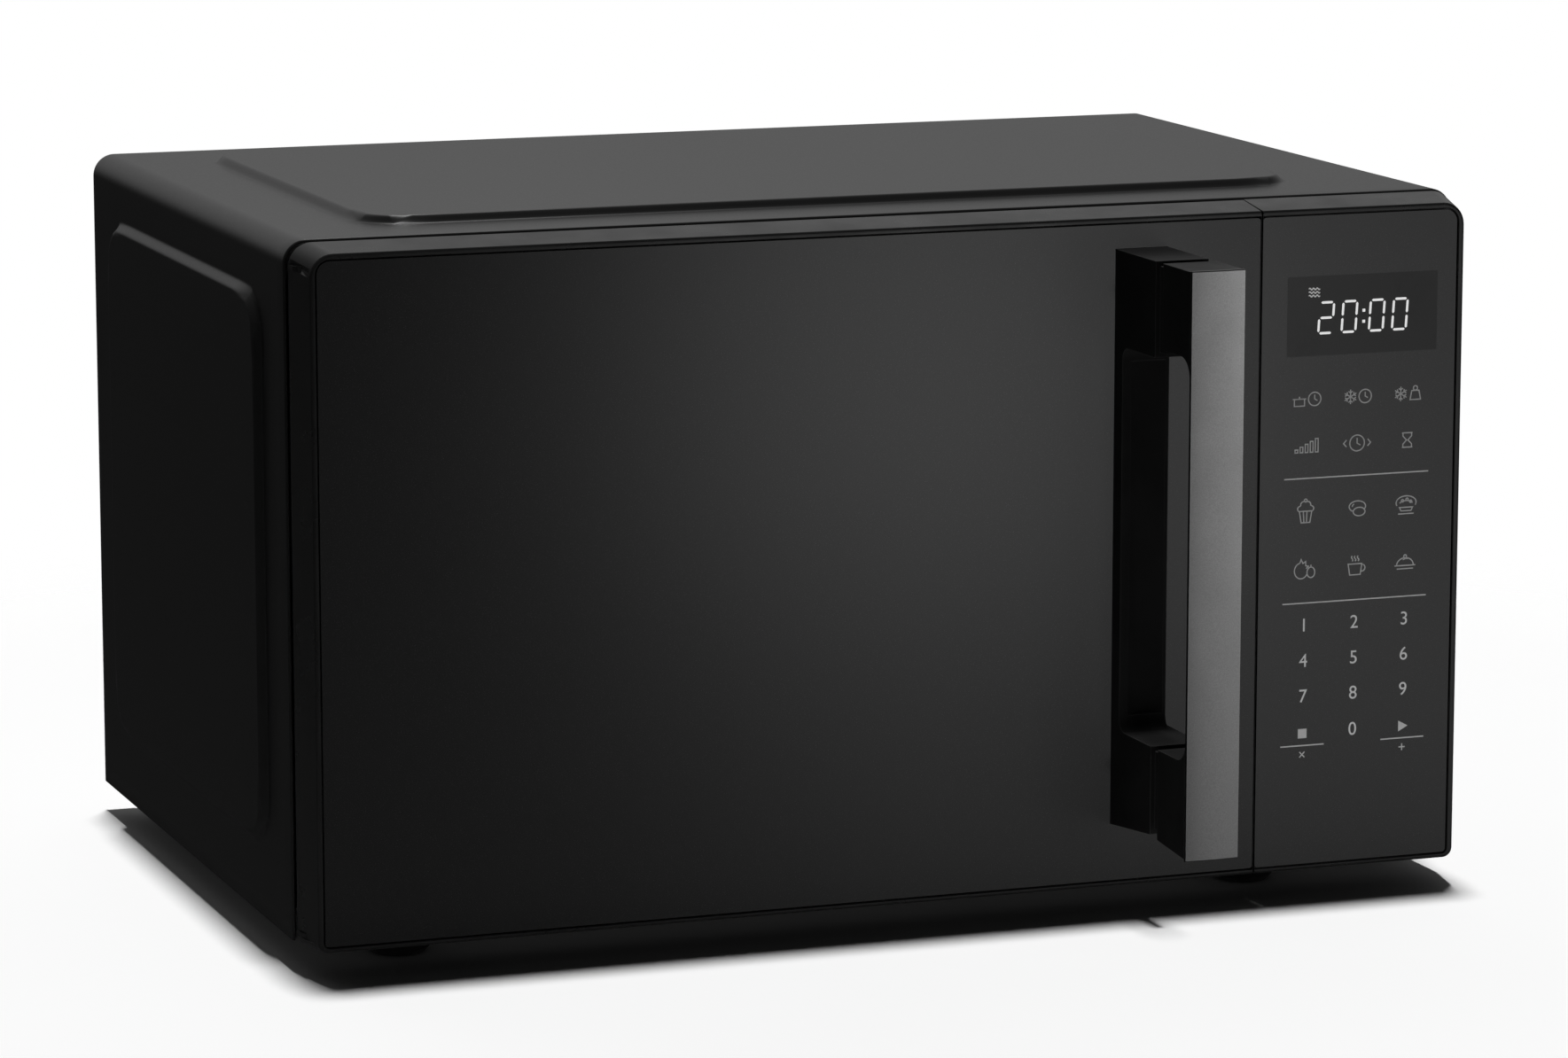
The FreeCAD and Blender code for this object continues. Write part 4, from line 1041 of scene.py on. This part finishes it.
def vegetables(pen):
    pen.stroke(pen.arc((-1.6, -0.6), 2.9, 100, 330, 1.1, 20))
    pen.stroke([(-2.1, 2.6), (-1.6, 4.0), (-0.8, 2.4), (0.4, 3.1), (0.4, 1.4), (1.6, 1.1), (0.6, 0.2)])
    pen.stroke(pen.arc((2.7, -1.4), 1.7, 0, 360, 1.25, 22)[:-1], True)
    pen.stroke([(2.7, 0.7), (2.7, 1.7)])


def steaming_cup(pen):
    pen.stroke([(-3.0, 0.8), (-2.3, -3.6), (2.3, -3.6), (3.0, 0.8)], True)
    pen.stroke(pen.arc((3.0, -0.9), 1.4, 75, -100, 1, 10))
    for x in (-1.3, 0.0, 1.3):
        pen.stroke([(x + 0.35 * math.sin(step * math.pi / 3), 1.9 + step * 0.36) for step in range(7)])


def covered_dish(pen):
    pen.stroke(pen.arc((0, -1.2), 3.7, 0, 180, 0.85, 20))
    pen.stroke([(-4.6, -1.2), (4.6, -1.2)])
    pen.stroke([(-3.6, -2.5), (3.6, -2.5)])
    pen.stroke(pen.arc((0.5, -0.6), 2.2, 70, 130, 1, 6))
    pen.ring((0, 2.5), 0.6)


def stop_mark(pen):
    pen.fill([(-1.9, -1.9), (1.9, -1.9), (1.9, 1.9), (-1.9, 1.9)])


def start_mark(pen):
    pen.fill([(-1.7, -2.2), (2.4, 0), (-1.7, 2.2)])


SEGMENTS = {"0": "abcdef", "2": "abged"}


def lit_digit(pen, character, width, height, thick):
    """One seven-segment figure, leaning slightly, its lower left corner at the origin."""
    lean = 0.06
    half = height / 2
    gap = 0.42
    bars = {"a": ((0, height), (width, height)), "g": ((0, half), (width, half)), "d": ((0, 0), (width, 0)),
            "f": ((0, half), (0, height)), "e": ((0, 0), (0, half)),
            "b": ((width, half), (width, height)), "c": ((width, 0), (width, half))}
    for name in SEGMENTS[character]:
        start, stop = (Vector(end) for end in bars[name])
        along = (stop - start).normalized()
        across = Vector((-along.y, along.x)) * thick / 2
        start, stop = start + along * gap, stop - along * gap
        tip = along * thick / 2
        upper = [start + tip + across, stop - tip + across]
        lower = [stop - tip - across, start + tip - across]
        pen.fill([(point.x + lean * point.y, point.y) for point in [start] + upper + [stop] + lower])


def build_panel_prints():
    low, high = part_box("control_glass")
    centre_x = (low.x + high.x) / 2
    columns = [centre_x + step * 22.0 * MM for step in (-1, 0, 1)]
    plane = low.y - PRINT / 4
    top = high.z

    keys = Pen(plane)
    rows = ((73.0, (cooking_time, time_defrost, weight_defrost)),
            (91.7, (power_level, clock_setting, kitchen_timer)),
            (118.3, (cupcake, potatoes, pizza)),
            (141.3, (vegetables, steaming_cup, covered_dish)))
    for drop, icons in rows:
        for x, icon in zip(columns, icons):
            icon(keys.at(x, top - drop * MM))
    # Painted light: the printed pictograms glow faintly.
    keys.piece("panel_pictograms", print_ink("grey_ink_painted_glow", 0.44, 0.08))

    rules = Pen(plane)
    for drop in (104.7, 155.0):
        rules.at(centre_x, top - drop * MM).stroke([(-31.5, 0), (31.5, 0)], width=0.5)
    for x in (columns[0], columns[2]):
        rules.at(x, top - 212.9 * MM).stroke([(-9.5, 0), (9.5, 0)], width=0.5)
    stop_mark(rules.at(columns[0], top - 208.0 * MM))
    start_mark(rules.at(columns[2], top - 208.0 * MM))
    rules.at(columns[0], top - 216.6 * MM).stroke([(-1.1, -1.1), (1.1, 1.1)])
    rules.stroke([(-1.1, 1.1), (1.1, -1.1)])
    rules.at(columns[2], top - 216.6 * MM).stroke([(-1.4, 0), (1.4, 0)])
    rules.stroke([(0, -1.4), (0, 1.4)])
    # Painted light: the printed rules and marks glow faintly.
    rules.piece("panel_rules", print_ink("light_ink_painted_glow", 0.45, 0.12))

    figures = Pen(plane)
    for row, drop in enumerate((164.2, 178.6, 193.0)):
        for column, x in enumerate(columns):
            figures.at(x, top - drop * MM).text(str(3 * row + column + 1), 7.6)
    figures.at(columns[1], top - 207.8 * MM).text("0", 7.6)
    # Painted light: the printed numerals glow faintly.
    figures.piece("panel_numerals", print_ink("numeral_ink_painted_glow", 0.5, 0.16))


def build_display():
    low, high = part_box("display_module")
    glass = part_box("control_glass")[0].y
    left, right = low.x + 1.0 * MM, high.x - 1.8 * MM
    bottom, top = low.z + 1.4 * MM, high.z - 1.9 * MM
    window = Pen(glass)
    width, height = (right - left) / MM, (top - bottom) / MM
    window.at(left, bottom).fill([(0, 0), (width, 0), (width, height), (0, height)])
    window.piece("display_window", MATERIALS["display_filter"])

    lit = Pen(glass - PRINT)
    base = bottom + 8.9 * MM
    for figure, offset in zip("2000", (13.4, 23.5, 35.4, 45.5)):
        lit_digit(lit.at(left + offset * MM, base), figure, 6.0, 12.2, 0.95)
    for dot in (3.9, 8.3):
        lit.at(left + 33.1 * MM, base + dot * MM).fill([(-0.6, -0.6), (0.6, -0.6), (0.6, 0.6), (-0.6, 0.6)])
    lit.piece("display_digits", print_ink("lit_segments", 0.6, 0.62))
    mark = Pen(glass - PRINT).at(left + 11.5 * MM, bottom + 25.2 * MM)
    wave_rows(mark, (-1.3, 0.1, 1.5), 2.4, 0.35)
    mark.piece("display_indicator", print_ink("dim_segments", 0.5, 0.25))


build_door_frame()
build_control_frame()
build_hinge_eyes()
strip_piece = build_handle_strip()
build_panel_prints()
build_display()


# ---------- studio ----------

def build_floor():
    """A pale floor that fades out into the white surroundings."""
    bm = bmesh.new()
    bmesh.ops.create_circle(bm, cap_ends=True, segments=96, radius=1.6)
    floor = from_bmesh("floor", bm)
    floor.visible_glossy = False
    floor.visible_shadow = False
    n = Nodes("floor_paper")
    n.set(Base_Color=n.blend(n.spread(n.noise(3.0), 0.0, 1.0), grey(0.93), grey(0.94)),
          Roughness=n.spread(n.noise(40.0), 0.8, 0.9), Specular_IOR_Level=0.0)
    distance = n.add("ShaderNodeVectorMath", {0: n.position}, operation="LENGTH").outputs["Value"]
    fade = n.add("ShaderNodeMapRange", {"Value": distance, "From Min": 0.42, "From Max": 0.85},
                 interpolation_type="SMOOTHSTEP").outputs["Result"]
    clear = n.add("ShaderNodeBsdfTransparent")
    mix = n.add("ShaderNodeMixShader", {0: fade, 1: n.shader.outputs[0], 2: clear.outputs[0]})
    n.put(n.output.inputs["Surface"], mix.outputs[0])
    floor.data.materials.append(n.material)


def build_world():
    """White to the camera. To everything else dim, and brighter behind the object, from the horizon up and
    not on its far left."""
    world = bpy.data.worlds.new("studio")
    bpy.context.scene.world = world
    world.use_nodes = True
    t = Tree(world.node_tree)
    split = t.add("ShaderNodeSeparateXYZ", {0: t.add("ShaderNodeTexCoord").outputs["Generated"]})
    bright = 1.0
    for axis, start, stop in (("X", -0.75, -0.15), ("Y", 0.15, 0.85), ("Z", -0.05, 0.16)):
        ramp = t.add("ShaderNodeMapRange",
                     {"Value": split.outputs[axis], "From Min": start, "From Max": stop},
                     interpolation_type="SMOOTHSTEP")
        bright = t.times(bright, ramp.outputs["Result"])
    path = t.add("ShaderNodeLightPath")
    dim = t.spread(path.outputs["Is Diffuse Ray"], 0.025, 0.006, 0.0, 1.0)
    white = (1, 1, 1, 1)
    lighting = t.tree.nodes["Background"]
    t.put(lighting.inputs["Color"], white)
    t.put(lighting.inputs["Strength"], t.spread(bright, dim, 0.375, 0.0, 1.0))
    seen = t.add("ShaderNodeBackground", {"Color": white})
    mix = t.add("ShaderNodeMixShader",
                {0: path.outputs["Is Camera Ray"], 1: lighting.outputs[0], 2: seen.outputs[0]})
    t.put(t.tree.nodes["World Output"].inputs["Surface"], mix.outputs[0])


def area_light(name, location, target, size, energy):
    data = bpy.data.lights.new(name, "AREA")
    data.shape = "RECTANGLE"
    data.size, data.size_y = size
    data.energy = energy
    light = add_object(name, data)
    light.location = location
    light.rotation_euler = (Vector(target) - Vector(location)).to_track_quat("-Z", "Y").to_euler()
    light.visible_camera = False
    return light


def shine_only_on(light, names):
    """Restricts a light to the polished faces it is meant to be mirrored in."""
    receivers = bpy.data.collections.new(light.name + "_receivers")
    for name in names:
        receivers.objects.link(bpy.data.objects[name])
    light.light_linking.receiver_collection = receivers


def build_lights():
    data = bpy.data.lights.new("overhead", "SUN")
    data.energy = 3.08
    data.angle = math.radians(4.5)
    overhead = add_object("overhead", data)
    overhead.rotation_euler = Vector((-0.015, -0.072, -1.0)).to_track_quat("-Z", "Y").to_euler()
    overhead.visible_glossy = False
    shadow_casters = bpy.data.collections.new("overhead_blockers")
    for piece in bpy.context.scene.objects:
        if piece.type == "MESH" and piece.name not in HANDLE_MOULDINGS + ("strip_face",):
            shadow_casters.objects.link(piece)
    overhead.light_linking.blocker_collection = shadow_casters
    glazed = ("door_glass", "control_glass", "display_window", "strip_face",
              "door_moulding", "control_moulding")
    wide = area_light("wide_glow", (0.64, -1.14, 0.03), (0.16, -0.127, 0.22), (0.64, 0.56), 0.70)
    core = area_light("core_glow", (0.39, -1.14, 0.09), (0.16, -0.127, 0.22), (0.28, 0.28), 0.28)
    for light in (wide, core):
        shine_only_on(light, glazed)
        light.light_linking.blocker_collection = bpy.data.collections.new(light.name + "_blockers")
    side = area_light("strip_glow", (0.96, -1.14, 0.20), (0.10, -0.2, 0.2), (0.36, 0.50), 1.6)
    shine_only_on(side, ("strip_face",))
    spark = area_light("rear_spark", (0.15, 0.96, 1.6), (-0.19, -0.06, 0.28), (0.12, 0.12), 2.5)
    shine_only_on(spark, ("cover_shell",))


def build_camera():
    data = bpy.data.cameras.new("camera")
    data.sensor_width = 36.0
    data.lens = 138.24
    data.clip_end = 100.0
    camera = add_object("camera", data)
    camera.location = (-0.82843, -2.26555, 0.56815)
    camera.rotation_euler = (math.radians(90 - 10.08), 0.0, math.radians(-20.0))
    bpy.context.scene.camera = camera


for piece in [nodes[name] for name in HANDLE_MOULDINGS] + [strip_piece]:
    piece.visible_glossy = False
build_floor()
build_world()
build_lights()
build_camera()
bpy.context.scene.view_settings.view_transform = "Standard"
